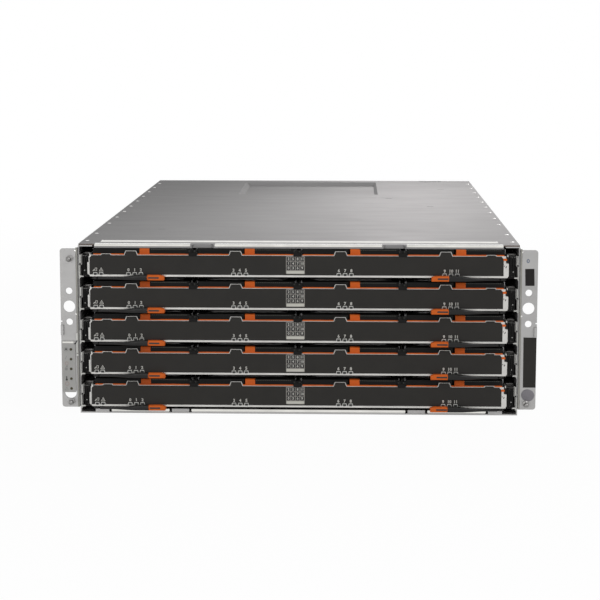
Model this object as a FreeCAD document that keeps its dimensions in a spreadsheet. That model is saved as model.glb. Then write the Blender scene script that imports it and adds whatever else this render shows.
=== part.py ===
import FreeCAD, Part
import math
import os
import re

import Sketcher

# Rack-mounted disk shelf enclosure: a 4U steel casing with five sliding drawers of twelve disks
# each at the front, and two fan modules, two control modules and two power supplies at the rear.
#
# Millimetres. X is to the right seen from the front, the front faces -Y, Z is up, and the origin
# is the centre of the bottom of the whole object.

DRAWERS = 5
COLUMNS = 4
ROWS = 3
LIGHTS = 5
RIVETS = 9              # evenly spaced ones along each side
BLADES = 7
PORTS = 3

SIZES = {
    # Whole object
    "rack_width": 482.6,        # over the two ears
    "overall_depth": 825.5,     # tips of the ball studs to the rear handles
    "stud_reach": 10,           # ear face to the tips of the ball studs
    "handle_reach": 15.5,       # rear edge of the casing to the backs of the handles
    # Casing
    "front_setback": 5,         # ear face to the front edge of the casing
    "ear_reach": 17.8,          # ears beyond the sides of the casing
    "body_height": 174.4,
    "body_sheet": 1.2,
    "flange_width": 14.5,       # inward flange on top of each side wall
    "lip_height": 4.6,          # turned-up front edge of the floor
    "lip_gap": 1,               # lip end to the flange line of the side wall
    "notch_width": 2.8,         # relief slits in the front lip
    "notch_first": 15.5,        # lip end to the slits
    "notch_second": 77,
    "notch_third": 97.5,
    "joggle_depth": 0.6,        # set-back stretch of lip between two slits
    # Top covers
    "corner_cut": 4,            # cover set back from the front corners
    "brow_drop": 3.8,           # front edge of the cover, folded down
    "brow_inset": 16.5,
    "dent_inset": 110,          # brow end to the set-back stretches of the folded edge
    "dent_half": 11.5,
    "dent_slope": 3,
    "dent_depth": 3,
    "ridge_place": 30,          # front edge of the cover to the raised hem
    "ridge_width": 2.4,
    "ridge_height": 0.5,
    "ridge_inset": 5,
    "seam_place": 533,          # ear face to the seam between the covers
    "seam_gap": 0.5,
    "well_left": 97.5,          # sunken panel of the rear cover
    "well_right": 90,
    "well_front": 574,
    "well_rear": 27.25,         # rear edge of the casing to the sunken panel
    "well_depth": 5,
    "well_slope": 6,
    "hook_slot_half": 15.5,     # slots near the rear edge of the rear cover
    "hook_slot_inset": 56.5,
    "hook_slot_depth": 9,
    "hook_slot_margin": 8,
    "vent_long": 8,             # small slots in the covers
    "vent_wide": 2.6,
    "vent_left": 71,            # side of the casing to the slots
    "vent_right": 72.5,
    "vent_inner": 121.5,
    "vent_rear": 47.5,
    "vent_left_place": 144,     # ear face to the slots
    "vent_right_place": 412,
    "vent_inner_place": 519,
    "vent_rear_place": 658,
    # Ears
    "ear_sheet": 1.5,
    "ear_low": 7.2,
    "ear_drop": 4,              # top of the casing to the top of the ears
    "ear_tail": 62,             # side flange of the ear, along the casing
    "ear_corner": 3,
    "hole_inset": 8.75,         # outer edge of an ear to its holes
    "small_hole": 3.4,
    "large_hole": 6,
    "small_hole_low": 95.25,
    "small_hole_step": 31.75,
    "large_hole_low": 22.225,
    "large_hole_high": 111.125,
    "tab_low": 82,              # folded tab on the outer edge of the ear
    "tab_high": 92,
    "tab_reach": 2.6,
    "tab_width": 2.8,
    "nick_low": 95,             # nick in the outer edge above the tab
    "nick_high": 96.5,
    "nick_depth": 1.4,
    # Status panel and ball studs
    "panel_inset": 0.5,         # outer edge of the ear to the panel
    "panel_gap": 3.5,           # side of the casing to the panel
    "panel_low": 22.7,
    "panel_high": 76,
    "panel_depth": 1.6,
    "panel_bevel": 1.2,
    "light_radius": 1.5,
    "light_clear": 0.05,
    "light_proud": 0.2,
    "light_inset": 9.85,        # outer edge of the ear to the lights
    "light_low": 26.6,
    "light_step": 10.13,
    "stud_ball": 2.7,
    "stud_neck": 1.5,
    "stud_base": 3.2,
    "stud_base_depth": 1.2,
    "stud_drop": 10.1,          # top of the ear to the upper stud
    "stud_rise": 6,             # bottom of the ear to the lower studs
    # Rivets
    "rivet_radius": 2.2,
    "rivet_head": 0.5,
    "rivet_inset": 5.5,         # side of the casing to the rivets in the covers
    "rivet_corner": 35,         # ear face to the first two rivets and to the even row
    "rivet_second": 103,
    "rivet_third": 205,
    "rivet_tail": 59,           # rear edge of the casing to the last rivets
    # Drawers
    "first_floor": 8,           # underside of the lowest drawer
    "brow_clear": 0.3,          # latches of the top drawer to the folded edge of the cover
    "latch_gap": 2.1,           # latches to the levers of the drawer above
    "drawer_gap": 11.5,         # side of the casing to the drawers' fronts
    "drawer_sheet": 1,
    "label_sheet": 0.4,
    "front_drop": 6.2,          # top of the latches to the drawer's front
    "front_corner": 2,
    "tray_inset": 0.6,          # end of the drawer's front to the tray's wall
    "tray_tail": 3,             # last row of disks to the tray's rear wall
    "wall_drop": 5.3,           # top of the latches to the tray's walls
    "divider_drop": 3.3,
    "divider_sheet": 1.2,
    "backplane_sheet": 1.6,
    "backplane_drop": 10.3,
    "front_room": 16,           # back of the drawer's front to the first row of disks
    # Upstands on the top edge of a drawer's front
    "tab_offset": -10.2,        # middle of a column to its upstand
    "tab_rise": 4.2,
    "tab_base": 7,
    "tab_top": 5.3,
    "end_tab_inset": 17.5,
    "end_tab_rise": 1.2,
    "end_tab_base": 5.6,
    "end_tab_top": 4.6,
    # Label on a drawer's front
    "label_inset": 0.9,
    "label_bottom": 2,
    "label_end": 5.2,           # bare metal beside the label at its right end
    # Disks
    "disk_gap": 4.4,            # between two columns of disks
    "disk_length": 147,
    "row_gap": 16,
    "carrier_inset": 1.8,
    "carrier_front": 2,         # drawer's front to the carrier
    "carrier_depth": 13,
    "carrier_drop": 0.1,        # top of the latch to the top of the carrier
    "arm_length": 66,           # carrier arms over the top of the disk
    "arm_width": 7,
    "arm_height": 1.1,
    "latch_offset": 3,          # middle of a column to its latch
    "latch_half": 5,
    "latch_slack": 0.3,
    "latch_low": 15,
    "latch_depth": 7.5,
    "latch_slope": 3,
    "block_half": 4.4,          # black blocks on the dividers' front ends
    "block_depth": 1.7,
    "block_drop": 1,
    # Slides
    "slide_clear": 0.3,
    "slide_sheet": 1.2,
    "slide_height": 23,
    "slide_centre": 10.2,       # drawer's underside to the middle of its slides
    "slide_joggle": 1.2,        # upper half of a channel, inward of the lower half
    "slide_crop": 16,           # front end of a channel with no upper flange
    "mouth_gap": 1.3,           # drawer's front to the mouths of the channels
    "slide_start": 3,           # front edge of the casing to the slides
    "slide_length": 500,
    "middle_length": 484,
    # Drawer levers
    "pivot_inset": 6,           # end of the drawer's front to the lever's pin
    "pivot_place": 7,           # ear face to the lever's pin
    "pivot_radius": 1.8,
    "pivot_clear": 0.1,
    "lever_boss": 4.9,
    "lever_gap": 0.4,
    "lever_thick": 2.7,
    "lever_proud": 0.8,         # lever's arm in front of the ear face
    "lever_arm": 6,
    "swell_start": 18,          # pin to the start of the finger pad's swelling
    "swell_length": 17,
    "grip_start": 54.1,         # pin to the coloured tip
    "grip_length": 18.1,
    "grip_reach": 6.5,
    "grip_gap": 0.4,
    "grip_rise": 2.2,
    "grip_chamfer": 1.8,
    "grip_slot": 0.7,
    "grip_slot_length": 11,
    "grip_slot_depth": 1.6,
    # Midplane and bays
    "cable_room": 26.6,         # tray's rear wall to the midplane board
    "midplane_sheet": 2.4,
    "midplane_gap": 2,
    "midplane_drop": 7.2,
    "vent_rib": 11,             # half the board left between two air openings
    "vent_half_height": 24,
    "bay_room": 13.6,           # midplane board to the bay walls
    "bay_sheet": 1.2,
    "bay_margin": 1,            # sunken panel to the bay walls
    "module_clear": 0.4,
    "module_setback": 10,       # front of the bay walls to the modules
    "plug_clear": 0.3,
    "plug_reach": 11,           # module to the midplane's sockets
    "plug_half": 24,
    "plug_height": 12,
    "plug_margin": 3,
    # Rear modules
    "duct_wall": 4.5,
    "duct_margin": 4,
    "grille_sheet": 2,
    "grille_slot": 5,
    "grille_step": 9,
    "grille_rim": 3,
    "shaft_radius": 3,
    "shaft_clear": 0.05,
    "shaft_length": 26,
    "blade_clear": 1.9,
    "rotor_hub": 17,
    "rotor_depth": 22,
    "rotor_place": 5,           # grille to the rotor
    "blade_sheet": 2,
    "blade_sweep": 6,
    "blade_root": 4,            # depth of a blade inside the hub
    "bar_length": 60,
    "bar_thick": 3,
    "bar_width": 9,
    "fan_bar_margin": 4,        # edge of the module to its handle
    "fan_bar_rise": 6,
    "supply_bar_margin": 8,
    "supply_bar_rise": 31,
    "board_bar_margin": 10,
    "board_bar_rise": 30,
    "catch_half": 6,            # spring catches on the modules' rear faces
    "catch_height": 4,
    "catch_reach": 6,
    "catch_drop": 10,
    "socket_half": 13.75,
    "socket_height": 20,
    "socket_depth": 16,
    "socket_margin": 12,
    "socket_rise": 8,
    "louvre_margin": 10,
    "louvre_rise": 44,
    "port_half": 9.5,
    "port_height": 9,
    "port_depth": 18,
    "port_step": 27,
    "port_margin": 24,
    "port_rise": 12,
}

PLACES = {
    "ear_face": "stud_reach - overall_depth / 2",
    "front_edge": "ear_face + front_setback",
    "rear_edge": "overall_depth / 2 - handle_reach",
    "side_outer": "rack_width / 2 - ear_reach",
    "side_inner": "side_outer - body_sheet",
    "flange_inner": "side_outer - flange_width",
    "cover_under": "body_height - body_sheet",
    "flange_under": "cover_under - body_sheet",
    "lip_half": "flange_inner - lip_gap",
    "brow_half": "side_outer - brow_inset",
    "dent_centre": "brow_half - dent_inset",
    "ridge_half": "brow_half - ridge_inset",
    "seam": "ear_face + seam_place",
    "rivet_step": "(rear_edge - ear_face - rivet_third - rivet_tail) / %d" % (RIVETS - 1),
    "ear_high": "body_height - ear_drop",
    "hole_column": "rack_width / 2 - hole_inset",
    "panel_left": "rack_width / 2 - panel_inset",
    "panel_right": "side_outer + panel_gap",
    "light_column": "rack_width / 2 - light_inset",
    "label_back": "ear_face + label_sheet",
    "front_back": "label_back + drawer_sheet",
    "front_half": "side_outer - drawer_gap",
    "tray_half": "front_half - tray_inset",
    "column_pitch": "2 * front_half / %d" % COLUMNS,
    "row_pitch": "disk_length + row_gap",
    "stack_height": "body_height - brow_drop - brow_clear - first_floor",
    "under_room": "lever_gap + lever_thick + latch_gap",
    "drawer_pitch": "(stack_height + under_room) / %d" % DRAWERS,
    "latch_top": "drawer_pitch - under_room",
    "carrier_top": "first_floor + latch_top - carrier_drop",
    "disk_top": "carrier_top - arm_height",
    "disk_width": "column_pitch - disk_gap",
    "carrier_half": "disk_width / 2 - carrier_inset",
    "front_top": "first_floor + latch_top - front_drop",
    "wall_top": "first_floor + latch_top - wall_drop",
    "divider_top": "first_floor + latch_top - divider_drop",
    "backplane_top": "first_floor + latch_top - backplane_drop",
    "tray_floor": "first_floor + drawer_sheet",
    "disk_front": "front_back + front_room",
    "tray_rear": "disk_front + %d * row_pitch + tray_tail" % ROWS,
    "disk_column": "-column_pitch * %.1f" % ((COLUMNS - 1) / 2),
    "slide_front": "front_edge + slide_start",
    "slide_level": "first_floor + slide_centre",
    "slide_mouth": "front_half + mouth_gap",
    "middle_web": "side_inner - slide_joggle - slide_sheet - slide_clear",
    "middle_height": "slide_height - 2 * slide_sheet - 2 * slide_clear",
    "rail_height": "middle_height - 2 * slide_sheet - 2 * slide_clear",
    "rail_reach": "middle_web - slide_sheet - slide_clear",
    "pivot_column": "front_half - pivot_inset",
    "pivot_line": "ear_face + pivot_place",
    "lever_top": "first_floor - lever_gap",
    "lever_bottom": "lever_top - lever_thick",
    "lever_front": "ear_face - lever_proud",
    "grip_near": "pivot_column - grip_start",
    "grip_far": "grip_near - grip_length",
    "grip_front": "ear_face - grip_reach",
    "grip_top": "first_floor + grip_rise",
    "swell_near": "pivot_column - swell_start",
    "swell_far": "swell_near - swell_length",
    "midplane": "tray_rear + cable_room",
    "midplane_rear": "midplane + midplane_sheet",
    "bay_front": "midplane_rear + bay_room",
    "module_start": "bay_front + module_setback",
    "plug_front": "module_start - plug_reach",
    "bay_left": "well_left + bay_margin",
    "bay_right": "well_right + bay_margin",
    "module_height": "(flange_under - body_sheet - bay_sheet) / 2 - 2 * module_clear",
    "lower_floor": "body_sheet + module_clear",
    "lower_roof": "lower_floor + module_height",
    "shelf_low": "lower_roof + module_clear",
    "shelf_high": "shelf_low + bay_sheet",
    "upper_floor": "shelf_high + module_clear",
    "upper_roof": "upper_floor + module_height",
    "well_under": "body_height - well_depth - body_sheet",
    "board_roof": "well_under - module_clear",
    "board_height": "board_roof - upper_floor",
    "fan_left": "bay_right + bay_sheet + module_clear",
    "fan_right": "side_inner - module_clear",
    "supply_left": "module_clear - side_inner",
    "supply_right": "-bay_left - bay_sheet - module_clear",
    "board_left": "module_clear - bay_left",
    "board_right": "bay_right - module_clear",
    "duct_radius": "module_height / 2 - duct_wall",
    "rotor_radius": "duct_radius - blade_clear",
}

doc = FreeCAD.newDocument("disk_shelf")
exports = []


# ---------------------------------------------------------------- sizes and sketches

def fill_sheet(name, rows):
    """Make a spreadsheet with one aliased cell for each row."""
    sheet = doc.addObject("Spreadsheet::Sheet", name)
    for number, (alias, content) in enumerate(rows.items(), start=1):
        sheet.set("A%d" % number, alias)
        sheet.set("B%d" % number, content)
        sheet.setAlias("B%d" % number, alias)
    return sheet


def cells(text):
    """Write the sizes and places that an expression names as cells of the two sheets."""
    def cell(match):
        word = match.group(0)
        if word in ("sqrt", "sin", "cos"):
            return word
        return ("Places." if word in PLACES else "Sizes.") + word
    return re.sub(r"[a-z][a-z_]+", cell, str(text))


def rect(left, right, low, high):
    """A rectangle's corners, each an expression."""
    return [(left, low), (right, low), (right, high), (left, high)]


def circle(across, along, radius):
    """A circle, told from a polygon by being a dictionary."""
    return {"centre": (across, along), "radius": radius}


def ring(across, along, radius, sides=12):
    """A regular polygon for a small round part, with corners at the given radius."""
    turns = [2 * math.pi * (i + 0.5) / sides for i in range(sides)]
    return [("%s + %s * %.6f" % (across, radius, math.cos(turn)),
             "%s + %s * %.6f" % (along, radius, math.sin(turn))) for turn in turns]


def mirror(points):
    """The same outline on the other side of the middle."""
    return [("-(%s)" % across, along) for across, along in reversed(points)]


def bind(sketch, kind, geometry, point, text):
    """Add one dimension to a sketch and tie it to an expression."""
    if kind == "Radius":
        index = sketch.addConstraint(Sketcher.Constraint(kind, geometry, 1.0))
    else:
        index = sketch.addConstraint(Sketcher.Constraint(kind, geometry, point, 1.0))
    sketch.setExpression("Constraints[%d]" % index, cells(text))


def draw_polygon(sketch, points):
    """A closed polygon with every corner dimensioned from the sketch's origin."""
    start = sketch.GeometryCount
    total = len(points)
    unit = [FreeCAD.Vector(1, 0, 0)]
    turn = FreeCAD.Rotation(FreeCAD.Vector(0, 0, 1), 360.0 / total)
    for _ in range(total):
        unit.append(turn.multVec(unit[-1]))
    lines = [Part.LineSegment(unit[i], unit[i + 1]) for i in range(total)]
    sketch.addGeometry(lines)
    joins = [Sketcher.Constraint("Coincident", start + i, 2, start + (i + 1) % total, 1)
             for i in range(total)]
    sketch.addConstraint(joins)
    for i, (across, along) in enumerate(points):
        bind(sketch, "DistanceX", start + i, 1, across)
        bind(sketch, "DistanceY", start + i, 1, along)


def draw_circle(sketch, shape):
    """A circle with its centre and radius dimensioned."""
    geometry = sketch.addGeometry(Part.Circle(FreeCAD.Vector(1, 1, 0), FreeCAD.Vector(0, 0, 1), 1))
    bind(sketch, "DistanceX", geometry, 3, shape["centre"][0])
    bind(sketch, "DistanceY", geometry, 3, shape["centre"][1])
    bind(sketch, "Radius", geometry, 0, shape["radius"])


def new_sketch(body, role, level, loops):
    """A sketch on one of the body's origin planes, at a level along +X, +Y or +Z."""
    sketch = body.newObject("Sketcher::SketchObject", body.Name + "_sketch")
    plane = [item for item in body.Origin.OriginFeatures if item.Role == role][0]
    sketch.AttachmentSupport = [(plane, "")]
    sketch.MapMode = "FlatFace"
    sign = "-" if role == "XZ_Plane" else ""
    sketch.setExpression("AttachmentOffset.Base.z", cells("%s(%s)" % (sign, level)))
    for loop in loops:
        if isinstance(loop, dict):
            draw_circle(sketch, loop)
        else:
            draw_polygon(sketch, loop)
    sketch.Visibility = False
    return sketch


def new_body(name):
    """An empty body that may hold more than one solid."""
    body = doc.addObject("PartDesign::Body", name)
    body.AllowCompound = True
    return body


def pad(body, role, low, high, *loops):
    """Add material between two levels along the plane's +X, +Y or +Z direction."""
    feature = body.newObject("PartDesign::Pad", body.Name + "_pad")
    feature.Profile = new_sketch(body, role, low, loops)
    feature.setExpression("Length", cells("(%s) - (%s)" % (high, low)))
    feature.Reversed = role == "XZ_Plane"
    return feature


def pocket(body, role, low, high, *loops):
    """Remove material between two levels along the plane's +X, +Y or +Z direction."""
    feature = body.newObject("PartDesign::Pocket", body.Name + "_pocket")
    feature.Profile = new_sketch(body, role, low, loops)
    feature.setExpression("Length", cells("(%s) - (%s)" % (high, low)))
    feature.Reversed = role != "XZ_Plane"
    return feature


def loft(body, kind, role, outlines):
    """A loft through sketches on parallel planes, each given as (level, outline)."""
    feature = body.newObject("PartDesign::" + kind, body.Name + "_loft")
    sections = [new_sketch(body, role, level, [outline]) for level, outline in outlines]
    feature.Profile = sections[0]
    feature.Sections = sections[1:]
    feature.Ruled = True
    return feature


def near(value, text_value):
    """True where two lengths are the same to within rounding."""
    return abs(value - text_value) < 0.001


def round_edges(body, kind, size, wanted):
    """Fillet or chamfer the edges for which wanted(edge) is true."""
    doc.recompute()
    base = body.Tip
    names = ["Edge%d" % (i + 1) for i, edge in enumerate(base.Shape.Edges) if wanted(edge)]
    feature = body.newObject("PartDesign::" + kind, body.Name + "_" + kind.lower())
    feature.Base = (base, names)
    feature.setExpression("Radius" if kind == "Fillet" else "Size", cells(size))
    return feature


# ---------------------------------------------------------------- primitives and groups

def group(name, members):
    """A Part::Compound of separate solids."""
    item = doc.addObject("Part::Compound", name)
    item.Links = members
    return item


def moved(source, place):
    """A copy of source that follows it, moved by the expressions in place."""
    item = group(source.Name + "_copy", [source])
    for letter, text in zip("xyz", place):
        item.setExpression("Placement.Base." + letter, cells(text))
    return item


def reflected(source):
    """A copy of source on the other side of the middle."""
    item = doc.addObject("Part::Mirroring", source.Name + "_mirrored")
    item.Source = source
    item.Base = (0, 0, 0)
    item.Normal = (1, 0, 0)
    return item


def export(item):
    """Keep a finished sub-part: its label names its file."""
    item.Label = item.Name
    exports.append(item)
    return item


def for_each_drawer(pattern, seed):
    """One node per drawer, the seed being the lowest drawer's and drawer 1 the top one."""
    for number in range(1, DRAWERS + 1):
        item = group(pattern % number, [seed])
        item.setExpression("Placement.Base.z", cells("drawer_pitch * %d" % (DRAWERS - number)))
        export(item)


# ---------------------------------------------------------------- casing

def make_base_pan():
    """Floor, side walls and their inward flanges, bent from one sheet, with a slit front lip."""
    pan = new_body("base_pan")
    half = [("side_outer", "0"), ("side_outer", "cover_under"), ("flange_inner", "cover_under"),
            ("flange_inner", "flange_under"),
            ("side_inner", "flange_under"), ("side_inner", "body_sheet")]
    pad(pan, "XZ_Plane", "front_edge", "rear_edge", half + mirror(half))
    lip_back = "front_edge + body_sheet"
    pad(pan, "XZ_Plane", "front_edge", lip_back,
        rect("-lip_half", "lip_half", "body_sheet / 2", "lip_height"))
    slits = [rect("lip_half - %s - notch_width / 2" % place,
                  "lip_half - %s + notch_width / 2" % place, "body_sheet", "lip_height")
             for place in ("notch_first", "notch_second", "notch_third")]
    pocket(pan, "XZ_Plane", "front_edge", lip_back, *(slits + [mirror(slit) for slit in slits]))
    stretch = rect("lip_half - notch_third + notch_width / 2",
                   "lip_half - notch_second - notch_width / 2", "body_sheet", "lip_height")
    pocket(pan, "XZ_Plane", "front_edge", "front_edge + joggle_depth", stretch, mirror(stretch))
    export(pan)


def vent(middle, place):
    """A small slot in a cover, centred at X = middle."""
    start = "ear_face + " + place
    return rect(middle + " - vent_long / 2", middle + " + vent_long / 2",
                start, start + " + vent_wide")


def make_front_cover():
    """Front top cover: folded front edge with two set-back stretches, and a raised hem."""
    cover = new_body("top_cover_front")
    rear = "seam - seam_gap / 2"
    corner = "front_edge + corner_cut"
    pad(cover, "XY_Plane", "cover_under", "body_height",
        [("-brow_half", "front_edge"), ("brow_half", "front_edge"), ("brow_half", corner),
         ("side_outer", corner), ("side_outer", rear), ("-side_outer", rear),
         ("-side_outer", corner), ("-brow_half", corner)])
    brow_low = "body_height - brow_drop"
    pad(cover, "XY_Plane", brow_low, "cover_under",
        rect("-brow_half", "brow_half", "front_edge", "front_edge + body_sheet"))
    floor = "front_edge + dent_depth"
    for sign in ("-", ""):
        middle = sign + "dent_centre"
        dent = [(middle + " - dent_half", "front_edge"), (middle + " + dent_half", "front_edge"),
                (middle + " + dent_half - dent_slope", floor),
                (middle + " - dent_half + dent_slope", floor)]
        pocket(cover, "XY_Plane", brow_low, "body_height", dent)
        pad(cover, "XY_Plane", brow_low, "cover_under",
            rect(middle + " - dent_half", middle + " + dent_half", floor, floor + " + body_sheet"))
    hem = "front_edge + ridge_place"
    pad(cover, "XY_Plane", "body_height", "body_height + ridge_height",
        rect("-ridge_half", "ridge_half", hem, hem + " + ridge_width"))
    pocket(cover, "XY_Plane", "cover_under", "body_height",
           vent("vent_left - side_outer", "vent_left_place"),
           vent("side_outer - vent_right", "vent_right_place"),
           vent("side_outer - vent_inner", "vent_inner_place"))
    export(cover)


def make_rear_cover():
    """Rear top cover with a sunken panel and two slots in its rear edge."""
    cover = new_body("top_cover_rear")
    pad(cover, "XY_Plane", "cover_under", "body_height",
        rect("-side_outer", "side_outer", "seam + seam_gap / 2", "rear_edge"))
    well = ("-well_left", "well_right", "ear_face + well_front", "rear_edge - well_rear")

    def shrunk(by):
        left, right, low, high = well
        return rect("%s + %s" % (left, by), "%s - %s" % (right, by),
                    "%s + %s" % (low, by), "%s - %s" % (high, by))
    loft(cover, "AdditiveLoft", "XY_Plane",
         [("well_under", shrunk("well_slope")), ("cover_under", shrunk("0"))])
    loft(cover, "SubtractiveLoft", "XY_Plane",
         [("well_under + body_sheet", shrunk("well_slope + body_sheet")),
          ("body_height", shrunk("body_sheet"))])
    centre = "(side_outer - hook_slot_inset)"
    finish = "rear_edge - hook_slot_margin"
    slot = rect(centre + " - hook_slot_half", centre + " + hook_slot_half",
                finish + " - hook_slot_depth", finish)
    pocket(cover, "XY_Plane", "cover_under", "body_height", slot, mirror(slot),
           vent("side_outer - vent_rear", "vent_rear_place"))
    export(cover)


def make_ear():
    """Rack ear for the right side: an angle whose face carries the rack holes."""
    ear = new_body("ear_right")
    flange = "side_outer + ear_sheet"
    pad(ear, "XY_Plane", "ear_low", "ear_high",
        [("side_outer", "ear_face"), ("rack_width / 2", "ear_face"),
         ("rack_width / 2", "ear_face + ear_sheet"), (flange, "ear_face + ear_sheet"),
         (flange, "ear_face + ear_tail"), ("side_outer", "ear_face + ear_tail")])
    pocket(ear, "XZ_Plane", "ear_face", "ear_face + ear_sheet",
           circle("hole_column", "small_hole_low", "small_hole"),
           circle("hole_column", "small_hole_low + small_hole_step", "small_hole"),
           circle("hole_column", "large_hole_low", "large_hole"),
           circle("hole_column", "large_hole_high", "large_hole"))
    pad(ear, "XZ_Plane", "ear_face - tab_reach", "ear_face",
        rect("rack_width / 2 - tab_width", "rack_width / 2", "tab_low", "tab_high"))
    pocket(ear, "XZ_Plane", "ear_face", "ear_face + ear_sheet",
           rect("rack_width / 2 - nick_depth", "rack_width / 2", "nick_low", "nick_high"))
    edge = SIZES["rack_width"] / 2
    ear_high = SIZES["body_height"] - SIZES["ear_drop"]

    def outer_corner(item):
        box = item.BoundBox
        level = near(box.ZMin, SIZES["ear_low"]) or near(box.ZMax, ear_high)
        return level and near(box.XMin, edge) and near(box.YLength, SIZES["ear_sheet"])
    round_edges(ear, "Fillet", "ear_corner", outer_corner)
    export(ear)
    left = group("ear_left", [reflected(ear)])
    export(left)


def make_status_panel():
    """Status panel on the left ear, and the five lights that fill its holes."""
    panel = new_body("status_panel")
    face = "ear_face - panel_depth"
    slope = [(face, "panel_low"), ("ear_face", "panel_low"), ("ear_face", "panel_high"),
             (face + " + panel_bevel", "panel_high"), (face, "panel_high - 2 * panel_bevel")]
    pad(panel, "YZ_Plane", "-panel_left", "-panel_right", slope)

    def lights(radius):
        return [ring("-light_column", "light_low + %d * light_step" % i, radius, 8)
                for i in range(LIGHTS)]
    pocket(panel, "XZ_Plane", face, "ear_face", *lights("light_radius"))
    export(panel)
    lenses = new_body("status_lights")
    pad(lenses, "XZ_Plane", face + " - light_proud", "ear_face",
        *lights("(light_radius - light_clear)"))
    export(lenses)


def make_studs():
    """Three ball studs on which a front bezel would snap."""
    stud = new_body("stud")
    centre = "ear_face - stud_reach + stud_ball"
    pad(stud, "XZ_Plane", "ear_face - stud_base_depth", "ear_face", ring("0", "0", "stud_base", 8))
    pad(stud, "XZ_Plane", centre, "ear_face - stud_base_depth", ring("0", "0", "stud_neck", 8))
    rings = [("%s - stud_ball * %.6f" % (centre, math.cos(turn)),
              ring("0", "0", "(stud_ball * %.6f)" % math.sin(turn), 8))
             for turn in [math.pi * k / 6 for k in (0.4, 1.6, 3, 4.4, 5.4)]]
    loft(stud, "AdditiveLoft", "XZ_Plane", rings)
    high = "ear_high - stud_drop"
    low = "ear_low + stud_rise"
    export(group("bezel_studs", [moved(stud, ("-hole_column", "0", high)),
                                 moved(stud, ("-hole_column", "0", low)),
                                 moved(stud, ("hole_column", "0", low))]))


def make_rivets():
    """Rivet heads that hold the covers to the side flanges."""
    seed = new_body("rivet")
    pad(seed, "XY_Plane", "body_height", "body_height + rivet_head",
        ring("side_outer - rivet_inset", "ear_face", "rivet_radius", 8))
    places = ["rivet_corner", "rivet_second"]
    places += ["rivet_third + rivet_step * %d" % i for i in range(RIVETS)]
    right = group("rivet_row", [moved(seed, ("0", place, "0")) for place in places])
    export(group("cover_rivets", [right, reflected(right)]))


# ---------------------------------------------------------------- slides

def make_slides():
    """Fixed channels on the casing's walls and the middle members that run in them."""
    low = "slide_level - slide_height / 2"
    high = "slide_level + slide_height / 2"
    upper = "side_inner - slide_joggle"
    inner = upper + " - slide_sheet"
    bend = "slide_level + slide_joggle"
    fixed = new_body("fixed_channel")
    pad(fixed, "XZ_Plane", "slide_front", "slide_front + slide_length",
        [("side_inner", low), ("slide_mouth", low), ("slide_mouth", low + " + slide_sheet"),
         ("side_inner - slide_sheet", low + " + slide_sheet"),
         ("side_inner - slide_sheet", "slide_level"), (inner, bend),
         (inner, high + " - slide_sheet"), ("slide_mouth", high + " - slide_sheet"),
         ("slide_mouth", high), (upper, high), (upper, bend), ("side_inner", "slide_level")])
    pocket(fixed, "XZ_Plane", "slide_front", "slide_front + slide_crop",
           rect("slide_mouth", inner, high + " - slide_sheet", high))
    pair = group("fixed_pair", [fixed, reflected(fixed)])
    rows = [moved(pair, ("0", "0", "drawer_pitch * %d" % i)) for i in range(DRAWERS)]
    export(group("slide_channels", rows))

    middle = new_body("middle_channel")
    low = "slide_level - middle_height / 2"
    high = "slide_level + middle_height / 2"
    inner = "middle_web - slide_sheet"
    pad(middle, "XZ_Plane", "slide_front", "slide_front + middle_length",
        [("middle_web", low), ("slide_mouth", low), ("slide_mouth", low + " + slide_sheet"),
         (inner, low + " + slide_sheet"), (inner, high + " - slide_sheet"),
         ("slide_mouth", high + " - slide_sheet"), ("slide_mouth", high), ("middle_web", high)])
    for_each_drawer("drawer_%d_middle_slides", group("middle_pair", [middle, reflected(middle)]))


# ---------------------------------------------------------------- drawers

def top_edge(inset, left, right):
    """The upper edge of a drawer's front from right to left, with its upstands."""
    level = "front_top - (%s)" % inset
    end_centre = "(front_half - end_tab_inset)"
    stands = [("-" + end_centre, "end_tab_rise", "end_tab_base", "end_tab_top")]
    for column in range(COLUMNS):
        centre = "disk_column + %d * column_pitch + tab_offset" % column
        stands.append((centre, "tab_rise", "tab_base", "tab_top"))
    stands.append((end_centre, "end_tab_rise", "end_tab_base", "end_tab_top"))
    points = [(left, level + " - front_corner"), (left + " + front_corner", level)]
    for centre, rise, base, top in stands:
        crest = "%s + %s" % (level, rise)
        narrow = "(%s)" % inset
        points += [("%s - %s + %s" % (centre, base, narrow), level),
                   ("%s - %s + %s" % (centre, top, narrow), crest),
                   ("%s + %s - %s" % (centre, top, narrow), crest),
                   ("%s + %s - %s" % (centre, base, narrow), level)]
    points += [(right + " - front_corner", level), (right, level + " - front_corner")]
    return points


def make_face_labels():
    """Black face label of a drawer, with the outline of the front behind it."""
    label = new_body("face_label")
    left = "-front_half + label_inset"
    right = "front_half - label_end"
    base = "first_floor + label_bottom"
    points = top_edge("label_inset", left, right)
    points += [(right, base + " + front_corner"), (right + " - front_corner", base),
               (left + " + front_corner", base), (left, base + " + front_corner")]
    pad(label, "XZ_Plane", "ear_face", "label_back", points)
    for_each_drawer("drawer_%d_face_label", label)


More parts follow.
